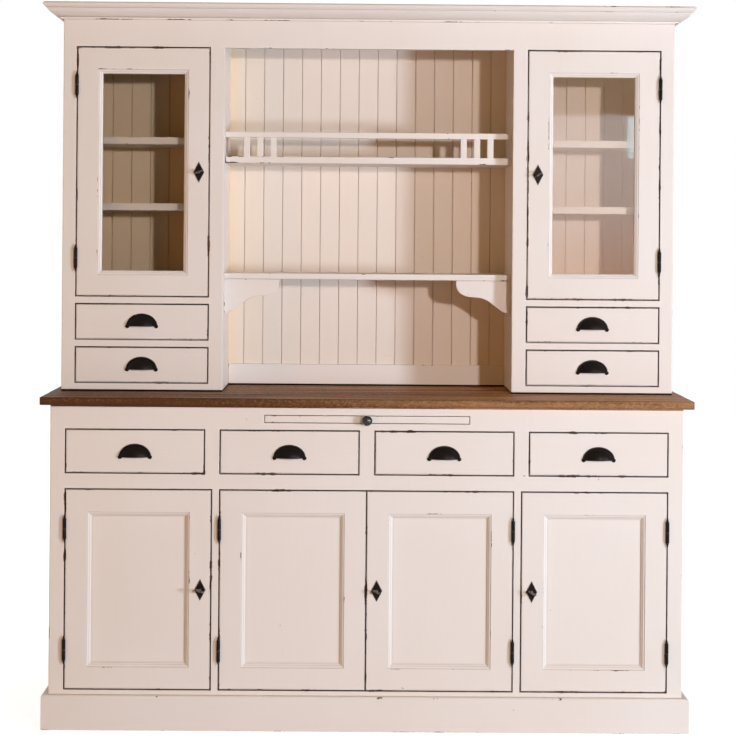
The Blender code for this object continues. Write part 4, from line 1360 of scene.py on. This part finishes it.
@dataclass
class DoorLock:
    """A diamond escutcheon with two pins, a key tube, and a case with four screws."""

    leaf: str
    roll: float
    width: float = 0.031
    height: float = 0.060
    thickness: float = 0.0016
    gap: float = HAIR
    pin_inset: float = 0.0085
    pin_sunk: float = 0.0001
    case_width: float = 0.034
    case_height: float = 0.050
    case_thickness: float = 0.008
    case_back: float = 0.022
    screw_inset: float = 0.004
    tube: float = 0.0042
    shank: float = 0.0022
    collar: float = 0.008
    bow_width: float = 0.026
    bow_length: float = 0.021
    bow_steps: int = 32
    catch_reach: float = 0.038
    catch_width: float = 0.010
    catch_thickness: float = 0.003
    catch_clearance: float = 0.0006

    def build(self, finishes: Finishes, repeater: Repeater) -> None:
        """Makes the lock, its pins and screws, and the key.

        Args:
            finishes: The finishes.
            repeater: What sets the repeated pieces out.
        """
        node = self.leaf + "_lock"
        face = self.gap + self.thickness
        spot = middle(node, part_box(node)[0].y + face)
        shell = Shell()
        loops = []
        for inset, depth, wear in (
            (0.0, self.gap, 0.0), (0.0, self.gap + self.thickness * 0.55, 0.6),
            (0.0011, face, 0.9), (0.0032, face, 0.0),
        ):
            wide, tall = self.width / 2 - inset * 1.1, self.height / 2 - inset * 2.2
            corners = ((0.0, tall), (-wide, 0.0), (0.0, -tall), (wide, 0.0))
            loops.append([shell.point(spot + Vector((x, -depth, z)), wear) for x, z in corners])
        shell.solid(loops)
        ring = [
            (self.tube * 0.62, face - 0.0004), (self.tube * 0.66, face + 0.0004),
            (self.tube * 0.86, face + 0.0005), (self.tube, face + 0.0001),
            (self.tube, 0.002 - self.case_back),
        ]
        shell.turned(ring, facing(spot), 20, 0.8)
        half_wide, half_tall = self.case_width / 2, self.case_height / 2
        back = self.case_back + HAIR
        case_front = self.case_back - self.case_thickness
        low = spot + Vector((-half_wide, case_front, -half_tall))
        shell.box(low, spot + Vector((half_wide, back, half_tall)), 0.0006, 0.6, 0.002)
        shell.dress(node, finishes.iron, 30.0)

        pin = self.height / 2 - self.pin_inset
        pins = [(0.0, self.pin_sunk - face, z) for z in (-pin, pin)]
        wide, tall = half_wide - self.screw_inset, half_tall - self.screw_inset
        screws = [(x, back, z) for x in (-wide, wide) for z in (-tall, tall)]
        for name, head, places in (
            ("_escutcheon_pins", nail_head(0.0014, pi / 2), pins),
            ("_lock_screws", nail_head(0.0022), screws),
        ):
            starts = [tuple(spot + Vector(place)) for place in places]
            piece = repeater.set_out(self.leaf + name, head, starts, finishes.iron)
            settle(piece, node, False)
        self.build_key(finishes, spot)

    def build_key(self, finishes: Finishes, spot: Vector) -> None:
        """Makes the key with the catch that it turns.

        Args:
            finishes: The finishes.
            spot: The key's axis on the face of the leaf.
        """
        fit = Matrix.Translation(spot) @ Matrix.Rotation(self.roll, 4, "Y")
        centre = self.gap + self.thickness + self.collar + self.bow_length / 2
        across, along = self.bow_width / 2 - self.shank, self.bow_length / 2 - self.shank
        shell = Shell()
        bow = []
        for step in range(self.bow_steps):
            turn = 2 * pi * step / self.bow_steps
            waist = 1.0 - 0.16 * max(0.0, cos(turn)) ** 2
            bow.append(fit @ Vector((across * sin(turn) * waist, along * cos(turn) - centre, 0.0)))
        self.bend_bow(shell, bow)
        shoulder, end = centre - along, self.case_back + self.catch_clearance + self.catch_thickness
        collar = (
            (0.9, 0.0002), (1.0, -0.0004), (1.0, -0.0016), (1.5, -0.0020), (1.62, -0.0027),
            (1.5, -0.0034), (1.0, -0.0038),
        )
        stem = [(self.shank * share, shoulder + drop) for share, drop in collar]
        stem.append((self.shank, 0.001 - end))
        shell.turned(stem, fit @ Matrix.Rotation(pi / 2, 4, "X"), 16, 0.8)
        half = self.catch_width / 2
        low = spot + Vector((-half, self.case_back + self.catch_clearance, -self.catch_reach))
        shell.box(low, spot + Vector((half, end, half)), 0.0005, 0.7, 0.0015)
        shell.dress(self.leaf + "_key", finishes.iron, 34.0)

    def bend_bow(self, shell: Shell, line: Sequence[Vector], sides: int = 10) -> None:
        """Adds the key's bow, a round bar that goes round in a ring, marked fully worn so that it is
        rubbed bright and painted with a highlight.

        Args:
            shell: The key.
            line: The points that the bar's middle follows.
            sides: How many faces go round the bar.
        """
        turns = [2 * pi * side / sides for side in range(sides)]
        loops = []
        for index, spot in enumerate(line):
            ahead = (line[(index + 1) % len(line)] - line[index - 1]).normalized()
            out = ahead.cross(Vector((0.31, 0.17, 0.93))).normalized()
            over = ahead.cross(out)
            around = [self.shank * (out * cos(turn) + over * sin(turn)) for turn in turns]
            # Fully worn all round: rubbed iron and a painted highlight along the bow.
            loops.append([shell.point(spot + reach, 1.0) for reach in around])
        shell.skin([*loops, loops[0]])


@dataclass
class CupPull:
    """A cup pull: a quarter dome that is open below, in an arched rim that ends in round feet."""

    node: str
    width: float = 0.094
    height: float = 0.0425
    reach: float = 0.025
    rim: float = 0.0075
    rim_thickness: float = 0.0028
    wall: float = 0.0028
    foot: float = 0.0058
    steps: int = 34
    rows: int = 12

    BAND = (
        (0.0, 0.0, 0.0), (0.0, 0.55, 0.6), (0.12, 0.9, 0.8), (0.3, 1.0, 0.2), (0.75, 1.0, 0.0),
        (1.0, 0.8, 0.0), (1.0, 0.0, 0.0),
    )
    FOOT = ((0.5, 0.97), (0.85, 0.8), (1.0, 0.5), (1.0, 0.0))

    def build(self, finishes: Finishes) -> None:
        """Shapes the dome, the rim and the feet.

        Args:
            finishes: The finishes.
        """
        low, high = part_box(self.node)
        origin = Vector(((low.x + high.x) / 2, high.y, low.z + self.foot))
        foot_line = self.width / 2 - self.foot
        half, rise = foot_line + self.rim / 2, self.height - self.foot
        shell = Shell()
        hidden = self.rim - self.wall / 2
        self.dome(shell, origin, (half - hidden, self.reach - HAIR, rise - hidden))
        self.arch(shell, origin, half, rise)
        thick = self.rim_thickness * 1.2
        profile = [(0.0002, thick), *((self.foot * share, thick * out) for share, out in self.FOOT)]
        for side in (-foot_line, foot_line):
            shell.turned(profile, facing(origin + Vector((side, 0.0, 0.0))), 20, 0.5)
        shell.dress(self.node, finishes.iron, 40.0)

    def dome(self, shell: Shell, origin: Vector, radii: Place) -> None:
        """Adds the dome with its inner wall.

        Args:
            shell: The pull.
            origin: The middle between its feet, on the drawer.
            radii: The dome's half width, reach and height.
        """
        skins = []
        for wall in (0.0, self.wall):
            wide, deep, tall = (radius - wall for radius in radii)
            skins.append([])
            for row in range(self.rows + 1):
                lean, wear = pi / 2 * row / self.rows, 0.8 if row == self.rows else 0.0
                turns = [pi * step / self.steps for step in range(self.steps + 1)]
                line = [
                    (wide * cos(turn), -deep * sin(turn) * sin(lean), tall * sin(turn) * cos(lean))
                    for turn in turns
                ]
                skins[-1].append([shell.point(origin + Vector(spot), wear) for spot in line])
        outer, inner = skins
        ends = [(outer[edge], inner[edge]) for edge in (0, -1)]
        for loops in (outer, inner, *ends):
            shell.skin(loops, closed=False)

    def arch(self, shell: Shell, origin: Vector, half: float, rise: float) -> None:
        """Adds the rim as a band with a rounded outer edge.

        Args:
            shell: The pull.
            origin: The middle between its feet, on the drawer.
            half: The arch's outer half width.
            rise: Its outer height.
        """
        loops = []
        for step in range(self.steps + 1):
            turn = pi * step / self.steps
            loop = []
            for inset, out, wear in self.BAND:
                across, up = half - inset * self.rim, rise - inset * self.rim
                spot = Vector((across * cos(turn), -out * self.rim_thickness, up * sin(turn)))
                loop.append(shell.point(origin + spot, wear))
            loops.append(loop)
        shell.solid(loops)


# Leaves and drawers


def front_edge(
    shell: Shell, rect: Rect, depths: tuple[float, float], radius: float, wear: float
) -> list[Verts]:
    """The loops from the back of a leaf or a drawer's front round its outer edge to its face, with
    painted shade where it faces into the gap.

    Args:
        shell: The piece.
        rect: Its outline.
        depths: Its front and back along Y.
        radius: How round its edges are.
        wear: The wear on its front edges.

    Returns:
        The loops.
    """
    front, back = depths
    # The last value of each loop is painted shade, deepest on the faces inside the gap.
    return shell.rings(
        rect,
        (radius + 0.004, back),
        (radius, back, 0.5, 0.2),
        (0.0, back - radius, 0.5, 0.6),
        (0.0, front + radius * 1.6, 0.5, 0.8),
        (0.0, front + radius, wear, 0.8),
        (radius * 0.3, front + radius * 0.3, wear, 0.6),
        (radius, front, wear, 0.14),
        (radius + 0.0033, front),
    )


@dataclass
class DoorLeaf:
    """A framed leaf with a moulding that steps in to its panel or its pane."""

    node: str
    roll: float | None = None
    glazed: bool = False
    stile: float = 0.0585
    top_rail: float = 0.061
    bottom_rail: float = 0.059
    moulding: float = 0.013
    recess: float = 0.0105
    panel: float = 0.0045
    radius: float = 0.0013
    wear: float = 0.66
    glass_depth: float = 0.010

    # Each step: share of the width, share of the depth, wear, and grime with painted shade in the
    # quirks.
    PROFILE = (
        (0.0, 0.0, 0.55, 0.0), (0.035, 0.04, 0.55, 0.1), (0.06, 0.13, 0.3, 0.3),
        (0.10, 0.18, 0.1, 0.3), (0.17, 0.18, 0.1, 0.05), (0.27, 0.21, 0.0, 0.0),
        (0.38, 0.28, 0.0, 0.0), (0.47, 0.37, 0.0, 0.0), (0.52, 0.46, 0.0, 0.05),
        (0.545, 0.50, 0.1, 0.3), (0.59, 0.52, 0.1, 0.1), (0.70, 0.60, 0.0, 0.0),
        (0.80, 0.71, 0.0, 0.0), (0.87, 0.83, 0.0, 0.0), (0.92, 0.95, 0.0, 0.05),
        (0.96, 1.0, 0.0, 0.2),
    )

    def build(self, finishes: Finishes, repeater: Repeater) -> None:
        """Makes the leaf, its hinges, and its glass, lock and key where it has them.

        Args:
            finishes: The finishes.
            repeater: What sets the repeated pieces out.
        """
        rect, front, back = front_of(self.node)
        left, right, low, high = rect
        sides = (left + self.stile, right - self.stile)
        inner = (*sides, low + self.bottom_rail, high - self.top_rail)
        shell = Shell()
        loops = front_edge(shell, rect, (front, back), self.radius, self.wear)
        loops += shell.rings(inner, (-0.004, front))
        for share, drop, *marks in self.PROFILE:
            loops += shell.rings(inner, (share * self.moulding, front + drop * self.recess, *marks))
        sight, end = self.moulding, back - self.radius
        if self.glazed:
            # Painted shade along the rebate of the glass.
            loops += shell.rings(
                inner, (sight, front + self.glass_depth, 0.0, 0.5), (sight, end, 0.3, 0.1),
                (sight - self.radius, back, 0.3, 0.0),
            )
            shell.skin([*loops, loops[0]])
        else:
            plane = front + self.recess
            behind = plane + self.panel
            # Painted shade in the corners of the recess.
            loops += shell.rings(inner, (sight + 0.002, plane, 0.0, 0.06), (sight + 0.006, plane))
            recess = shell.rings(
                inner, (0.006, behind), (0.0, behind, 0.0, 0.3), (0.0, end, 0.3, 0.0),
                (-self.radius, back, 0.3, 0.0),
            )
            shell.solid([*recess, *loops])
        shell.dress(self.node, finishes.upright, 28.0)
        if self.glazed:
            pane = Shell()
            pane.box(*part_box(self.node + "_glass"), 0.0004, 0.0, 0.002)
            pane.dress(self.node + "_glass", finishes.glass)
        for level in ("top", "bottom"):
            PinHinge(f"{self.node}_hinge_{level}").build(finishes)
        if self.roll is not None:
            DoorLock(self.node, self.roll).build(finishes, repeater)


@dataclass
class Drawer:
    """A drawer with a worn painted front on a pine box."""

    node: str
    top_wear: float = 0.74
    front_thickness: float = 0.022
    side_inset: float = 0.002
    top_inset: float = 0.012
    wall: float = 0.010
    floor: float = 0.007
    radius: float = 0.0013
    wear: float = 0.64

    def build(self, finishes: Finishes) -> None:
        """Makes the front, the box and the cup pull.

        Args:
            finishes: The finishes.
        """
        rect, front, back = front_of(self.node)
        behind = front + self.front_thickness
        shell = Shell()
        shell.solid(front_edge(shell, rect, (front, behind), self.radius, self.wear))
        for vert in shell.bm.verts:
            if vert.co.z > rect[3] - self.radius * 1.2 and vert[shell.wear] >= self.wear:
                vert[shell.wear] = self.top_wear
        shell.dress(self.node, finishes.level, 28.0)

        left, right = rect[0] + self.side_inset, rect[1] - self.side_inset
        low, high, start = rect[2], rect[3] - self.top_inset, behind - 0.001
        box = Shell()
        inside = (left + self.wall, right - self.wall, back - self.wall)
        for corner, end in (
            ((left, start, low), (inside[0], back, high)),
            ((inside[1], start, low), (right, back, high)),
            ((inside[0] - 0.002, inside[2], low), (inside[1] + 0.002, back, high - 0.002)),
        ):
            box.box(corner, end, 0.0008, 0.4, 0.002)
        floor_low = (left + 0.004, start, low + 0.0005)
        box.box(floor_low, (right - 0.004, back - 0.004, low + self.floor), 0.0005, 0.0, 0.002)
        box.dress(self.node, finishes.pine_level, name=self.node + "_box")
        CupPull(self.node + "_cup_pull").build(finishes)


@dataclass
class PullOutBoard:
    """A pull-out board with a turned knob."""

    node: str = "pull_out_board"
    radius: float = 0.0014
    wear: float = 0.5
    swelling: float = 0.0007

    KNOB = (
        (0.0, 1.0), (0.45, 0.97), (0.8, 0.85), (0.98, 0.68), (1.0, 0.55), (0.88, 0.4),
        (0.55, 0.26), (0.45, 0.16), (0.5, 0.06), (0.62, 0.0),
    )

    def build(self, finishes: Finishes) -> None:
        """Makes the board and the knob.

        Args:
            finishes: The finishes.
        """
        low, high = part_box(self.node)
        grown = Vector((self.swelling, 0.0, self.swelling))
        shell = Shell()
        shell.box(low - grown, high + grown, self.radius, self.wear, 0.003)
        # Painted shade on the board's sides, inside the reveal.
        for vert in shell.bm.verts:
            if vert.co.y > low.y + self.radius * 1.2 and vert[shell.wear] > 0:
                vert[shell.grime] = 0.5
        shell.dress(self.node, finishes.level)

        node = self.node + "_knob"
        low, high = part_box(node)
        radius, reach = (high.x - low.x) / 2, high.y - low.y
        line = smooth_line(self.KNOB, 3)
        knob = Shell()
        profile = [(max(share, 0.01) * radius, along * reach) for share, along in line]
        knob.turned(profile, facing(middle(node, high.y)), 32, 0.4)
        knob.dress(node, finishes.knob, 50.0)


# The whole dresser


@dataclass
class Dresser:
    """The dresser, from its plinth to its cornice."""

    finishes: Finishes
    repeater: Repeater
    doors: tuple[DoorLeaf, ...] = (
        DoorLeaf("base_door_far_left", radians(18)),
        DoorLeaf("base_door_mid_left"),
        DoorLeaf("base_door_mid_right", radians(22)),
        DoorLeaf("base_door_far_right", radians(27)),
        DoorLeaf("hutch_door_left", radians(-20), glazed=True, recess=0.008),
        DoorLeaf("hutch_door_right", radians(-35), glazed=True, recess=0.008),
    )
    base_drawers: tuple[str, ...] = (
        "base_drawer_far_left", "base_drawer_mid_left",
        "base_drawer_mid_right", "base_drawer_far_right",
    )
    hutch_drawers: tuple[str, ...] = (
        "hutch_drawer_left_upper", "hutch_drawer_left_lower",
        "hutch_drawer_right_upper", "hutch_drawer_right_lower",
    )
    cornice_shares: tuple[tuple[float, float], ...] = (
        (0.90, 0.0), (0.975, 0.05), (1.0, 0.13), (0.97, 0.22), (0.90, 0.30), (0.86, 0.345),
        (0.82, 0.36), (0.79, 0.43), (0.71, 0.55), (0.60, 0.66), (0.47, 0.76), (0.33, 0.84),
        (0.21, 0.885), (0.20, 0.90), (0.20, 1.0),
    )

    def build(self) -> None:
        """Builds every piece in order."""
        outer = tuple(door.node for door in self.doors if "far" in door.node)
        glazed = tuple(door.node for door in self.doors if door.glazed)
        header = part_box(glazed[0])[1].z + 0.0015
        base_fronts = (*outer, *self.base_drawers, "pull_out_board")
        hutch_fronts = (*glazed, *self.hutch_drawers)
        level = {"upright": False}
        for part in (
            BaseFrame("base_face_frame", base_fronts, stands=False),
            FaceFrame("hutch_face_frame", hutch_fronts, "gallery_shelf", header),
            SoftenedCopy("base_carcass"),
            SoftenedCopy("hutch_carcass", stands=True, yellowed_and_shaded=True),
            SoftenedCopy("lower_shelf", radius=0.0014, wear=0.5, border=0.0035, **level),
            SoftenedCopy("hutch_skirting_rail", radius=0.0016, border=0.004, stands=True, **level),
        ):
            part.build(self.finishes)
        for part in (GalleryShelf(), BoardedBack(), BackPanel()):
            part.build(self.finishes, self.repeater)
        Worktop().build(self.finishes)
        self.plinth().build(self.finishes)
        self.cornice().build(self.finishes)
        for door in self.doors:
            door.build(self.finishes, self.repeater)
        drawers = [Drawer(node) for node in self.base_drawers]
        drawers += [Drawer(node, top_wear=0.92) for node in self.hutch_drawers]
        for part in (*drawers, PullOutBoard()):
            part.build(self.finishes)

    def plinth(self) -> WrappedMoulding:
        """Draws the plinth's section.

        Returns:
            The plinth.
        """
        body, high = "base_face_frame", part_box("plinth")[1]
        reach, top = high.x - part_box(body)[1].x, high.z
        points = (
            (HAIR, 0.0), (reach - 0.0006, 0.0), (reach, 0.0008), (reach, 0.004),
            (reach, top - 0.008), (reach, top - 0.0044), (reach - 0.0006, top - 0.0032),
            (reach - 0.0034, top - 0.0005), (reach - 0.0045, top), (reach - 0.008, top),
            (HAIR, top),
        )
        wears = {1: 0.6, 2: 0.6, 5: 0.47, 6: 0.5, 7: 0.5, 8: 0.47}
        # Painted shade where the plinth's top meets the frame.
        return WrappedMoulding("plinth", body, points, wears, {10: 0.2})

    def cornice(self) -> WrappedMoulding:
        """Draws the cornice's section, from its top to its foot and back along the hutch.

        Returns:
            The cornice.
        """
        body, (low, high) = "hutch_face_frame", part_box("cornice")
        reach, height = high.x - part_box(body)[1].x, high.z - low.z
        line = smooth_line(self.cornice_shares[:6], 2)
        line += [*smooth_line(self.cornice_shares[6:13], 3), *self.cornice_shares[13:-1]]
        points = [(share * reach, high.z - drop * height) for share, drop in line]
        share, drop = self.cornice_shares[-1]
        foot, base = share * reach, high.z - drop * height
        points = [(HAIR, high.z), (points[0][0] - 0.004, high.z), *points]
        points += [
            (foot, base + 0.003), (foot, base + 0.001), (foot - 0.001, base), (foot - 0.004, base),
            (HAIR, base),
        ]
        count = len(points)
        wears = {2: 0.4, 3: 0.5, 4: 0.5, 12: 0.45, 13: 0.5}
        wears |= {count - 5: 0.3, count - 4: 0.62, count - 3: 0.62}
        # Painted shade under the lip and along the foot against the hutch.
        grime_and_shade_marks = {13: 0.25, 14: 0.15, count - 3: 0.05, count - 2: 0.1, count - 1: 0.5}
        return WrappedMoulding("cornice", body, points, wears, grime_and_shade_marks)


# Studio


@dataclass(frozen=True)
class Lamp:
    """A round soft lamp."""

    name: str
    place: Place
    power: float
    colour: Colour
    size: float
    mirrored: bool = True

    def build(self, aim: Place) -> None:
        """Hangs the lamp.

        Args:
            aim: What it points at.
        """
        lamp = bpy.data.lights.new(self.name, "AREA")
        lamp.shape = "DISK"
        lamp.size, lamp.energy, lamp.color = self.size, self.power, self.colour
        hung = shown(bpy.data.objects.new(self.name, lamp))
        hung.visible_glossy = self.mirrored
        hung.location = self.place
        towards = Vector(aim) - Vector(self.place)
        hung.rotation_euler = towards.to_track_quat("-Z", "Y").to_euler()


@dataclass(frozen=True)
class Screen:
    """An upright screen behind the camera that only glass and gloss show."""

    name: str
    low: Place
    high: Place
    level: float
    foot: Colour = WHITE
    head: Colour = WHITE

    def build(self) -> None:
        """Stands the screen up."""
        shell = Shell()
        (left, depth, base), (right, _, top) = self.low, self.high
        corners = ((left, base), (left, top), (right, top), (right, base))
        shell.bm.faces.new([shell.point((x, depth, z)) for x, z in corners])
        tree = Shading(self.name)
        margin = 0.2 * (top - base)
        rise = tree.step(tree.axis("Z"), base + margin, top - margin)
        cloudy = tree.step(tree.noise(0.9, 2.0), 0.3, 0.7, self.level * 0.85, self.level)
        colour = tree.layers(self.foot, (rise, self.head))
        glow = tree.add("ShaderNodeEmission", {"Strength": cloudy, "Color": colour})
        clear = tree.add("ShaderNodeBsdfTransparent", {})
        glossy = tree.add("ShaderNodeLightPath", {}).outputs["Is Glossy Ray"]
        shell.piece(self.name, tree.end(tree.mix(glossy, clear, glow)))


@dataclass
class Studio:
    """A pale floor, a white backdrop, soft lamps, a dim warm fill, and screens for the panes."""

    lamps: tuple[Lamp, ...] = (
        Lamp("front_lamp", (2.30, -6.40, 1.98), 173.0, (1.0, 0.92, 0.91), 0.30),
        Lamp("side_lamp", (4.90, -4.00, 1.00), 292.0, (0.68, 0.81, 1.0), 0.80),
        Lamp("left_glow", (-3.20, -3.60, 1.20), 26.0, (1.0, 0.39, 0.02), 1.60, mirrored=False),
        Lamp("back_lamp", (-1.60, 5.50, 2.80), 150.0, (1.0, 0.96, 0.90), 1.80, mirrored=False),
    )
    screens: tuple[Screen, ...] = (
        Screen(
            "pale_screen", (1.10, -7.5, 0.4), (3.60, -7.5, 2.22), 5.2,
            (0.98, 0.50, 0.33), (1.0, 0.77, 0.71),
        ),
        Screen(
            "dim_header", (1.10, -7.5, 2.22), (3.60, -7.5, 3.60), 2.6,
            (1.0, 0.60, 0.36), (1.0, 0.58, 0.32),
        ),
        Screen(
            "bright_window", (1.86, -7.4, 1.92), (2.30, -7.4, 2.20), 9.0,
            (0.9, 0.95, 1.0), (0.95, 0.97, 1.0),
        ),
        Screen("dark_cloth", (-2.80, -7.5, 0.1), (-0.70, -7.5, 3.20), 0.0),
    )
    aim: Place = (0.0, 0.0, 1.0)
    fill: Colour = (1.0, 0.76, 0.30)
    fill_level: float = 0.12
    floor_size: float = 9.0
    floor_colour: Colour = (0.45, 0.44, 0.43)
    floor_roughness: float = 0.8
    floor_glow: float = 0.82
    floor_fade: tuple[float, float] = (0.95, 1.45)

    def build(self) -> None:
        """Sets the colour view, the world, the floor, the lamps and the screens."""
        bpy.context.scene.view_settings.view_transform = "Standard"
        self.build_world()
        self.build_floor()
        for lamp in self.lamps:
            lamp.build(self.aim)
        for screen in self.screens:
            screen.build()

    def build_world(self) -> None:
        """A soft warm light all round, behind a backdrop that looks white."""
        world = bpy.data.worlds.new("studio")
        bpy.context.scene.world = world
        world.use_nodes = True
        tree = Tree(world.node_tree)
        levels = ((self.fill, self.fill_level), (WHITE, 1.0))
        soft, white = (
            tree.add("ShaderNodeBackground", {"Color": colour, "Strength": level})
            for colour, level in levels
        )
        both = tree.mix(tree.seen(), soft, white)
        tree.add("ShaderNodeOutputWorld", {"Surface": both.outputs[0]})

    def build_floor(self) -> None:
        """A pale floor that keeps the dresser's shadow."""
        shell = Shell()
        half = self.floor_size
        corners = ((-half, -half), (half, -half), (half, half), (-half, half))
        shell.bm.faces.new([shell.point((x, y, 0.0)) for x, y in corners])
        tree = Shading("pale_floor")
        matt = {"Base Color": self.floor_colour, "Roughness": self.floor_roughness}
        pale = tree.add("ShaderNodeBsdfPrincipled", matt)
        reach = tree.add("ShaderNodeVectorMath", {0: tree.place}, operation="LENGTH")
        level = tree.step(reach.outputs["Value"], *self.floor_fade, self.floor_glow, 1.0)
        level = tree.maths("MULTIPLY", tree.seen(), level)
        glow = tree.add("ShaderNodeEmission", {"Color": WHITE, "Strength": level})
        both = tree.add("ShaderNodeAddShader", {0: pale.outputs[0], 1: glow.outputs[0]})
        shell.piece("studio_floor", tree.end(both))


@dataclass
class PhotoCamera:
    """The camera at the photograph's viewpoint."""

    place: Place = (-0.0501, -5.3196, 1.3592)
    yaw: float = 0.0055
    roll: float = 0.0079
    focal_pixels: float = 1847.8
    centre: tuple[float, float] = (360.67, 237.87)
    image: float = 736.0
    sensor: float = 36.0

    def build(self) -> None:
        """Sets the camera up."""
        data = bpy.data.cameras.new("photo_camera")
        data.sensor_width = self.sensor
        data.lens = self.focal_pixels * self.sensor / self.image
        data.shift_x = (self.image / 2 - self.centre[0]) / self.image
        data.shift_y = (self.centre[1] - self.image / 2) / self.image
        data.clip_start, data.clip_end = 0.1, 60.0
        ahead = Vector((sin(self.yaw), cos(self.yaw), 0.0))
        right = Vector((cos(self.yaw), -sin(self.yaw), 0.0))
        up = Vector((0.0, 0.0, 1.0))
        across = cos(self.roll) * right + sin(self.roll) * up
        upward = -sin(self.roll) * right + cos(self.roll) * up
        turn = Matrix((across, upward, -ahead)).transposed().to_4x4()
        camera = shown(bpy.data.objects.new("photo_camera", data))
        camera.matrix_world = Matrix.Translation(self.place) @ turn
        bpy.context.scene.camera = camera


def main() -> None:
    """Builds the camera, the studio and the dresser."""
    logging.basicConfig(level=logging.INFO, format="%(name)s: %(message)s")
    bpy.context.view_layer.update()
    PhotoCamera().build()
    Studio().build()
    Dresser(Finishes(), Repeater("set_out_in_rows")).build()
    bpy.context.view_layer.update()


if __name__ == "__main__":
    main()
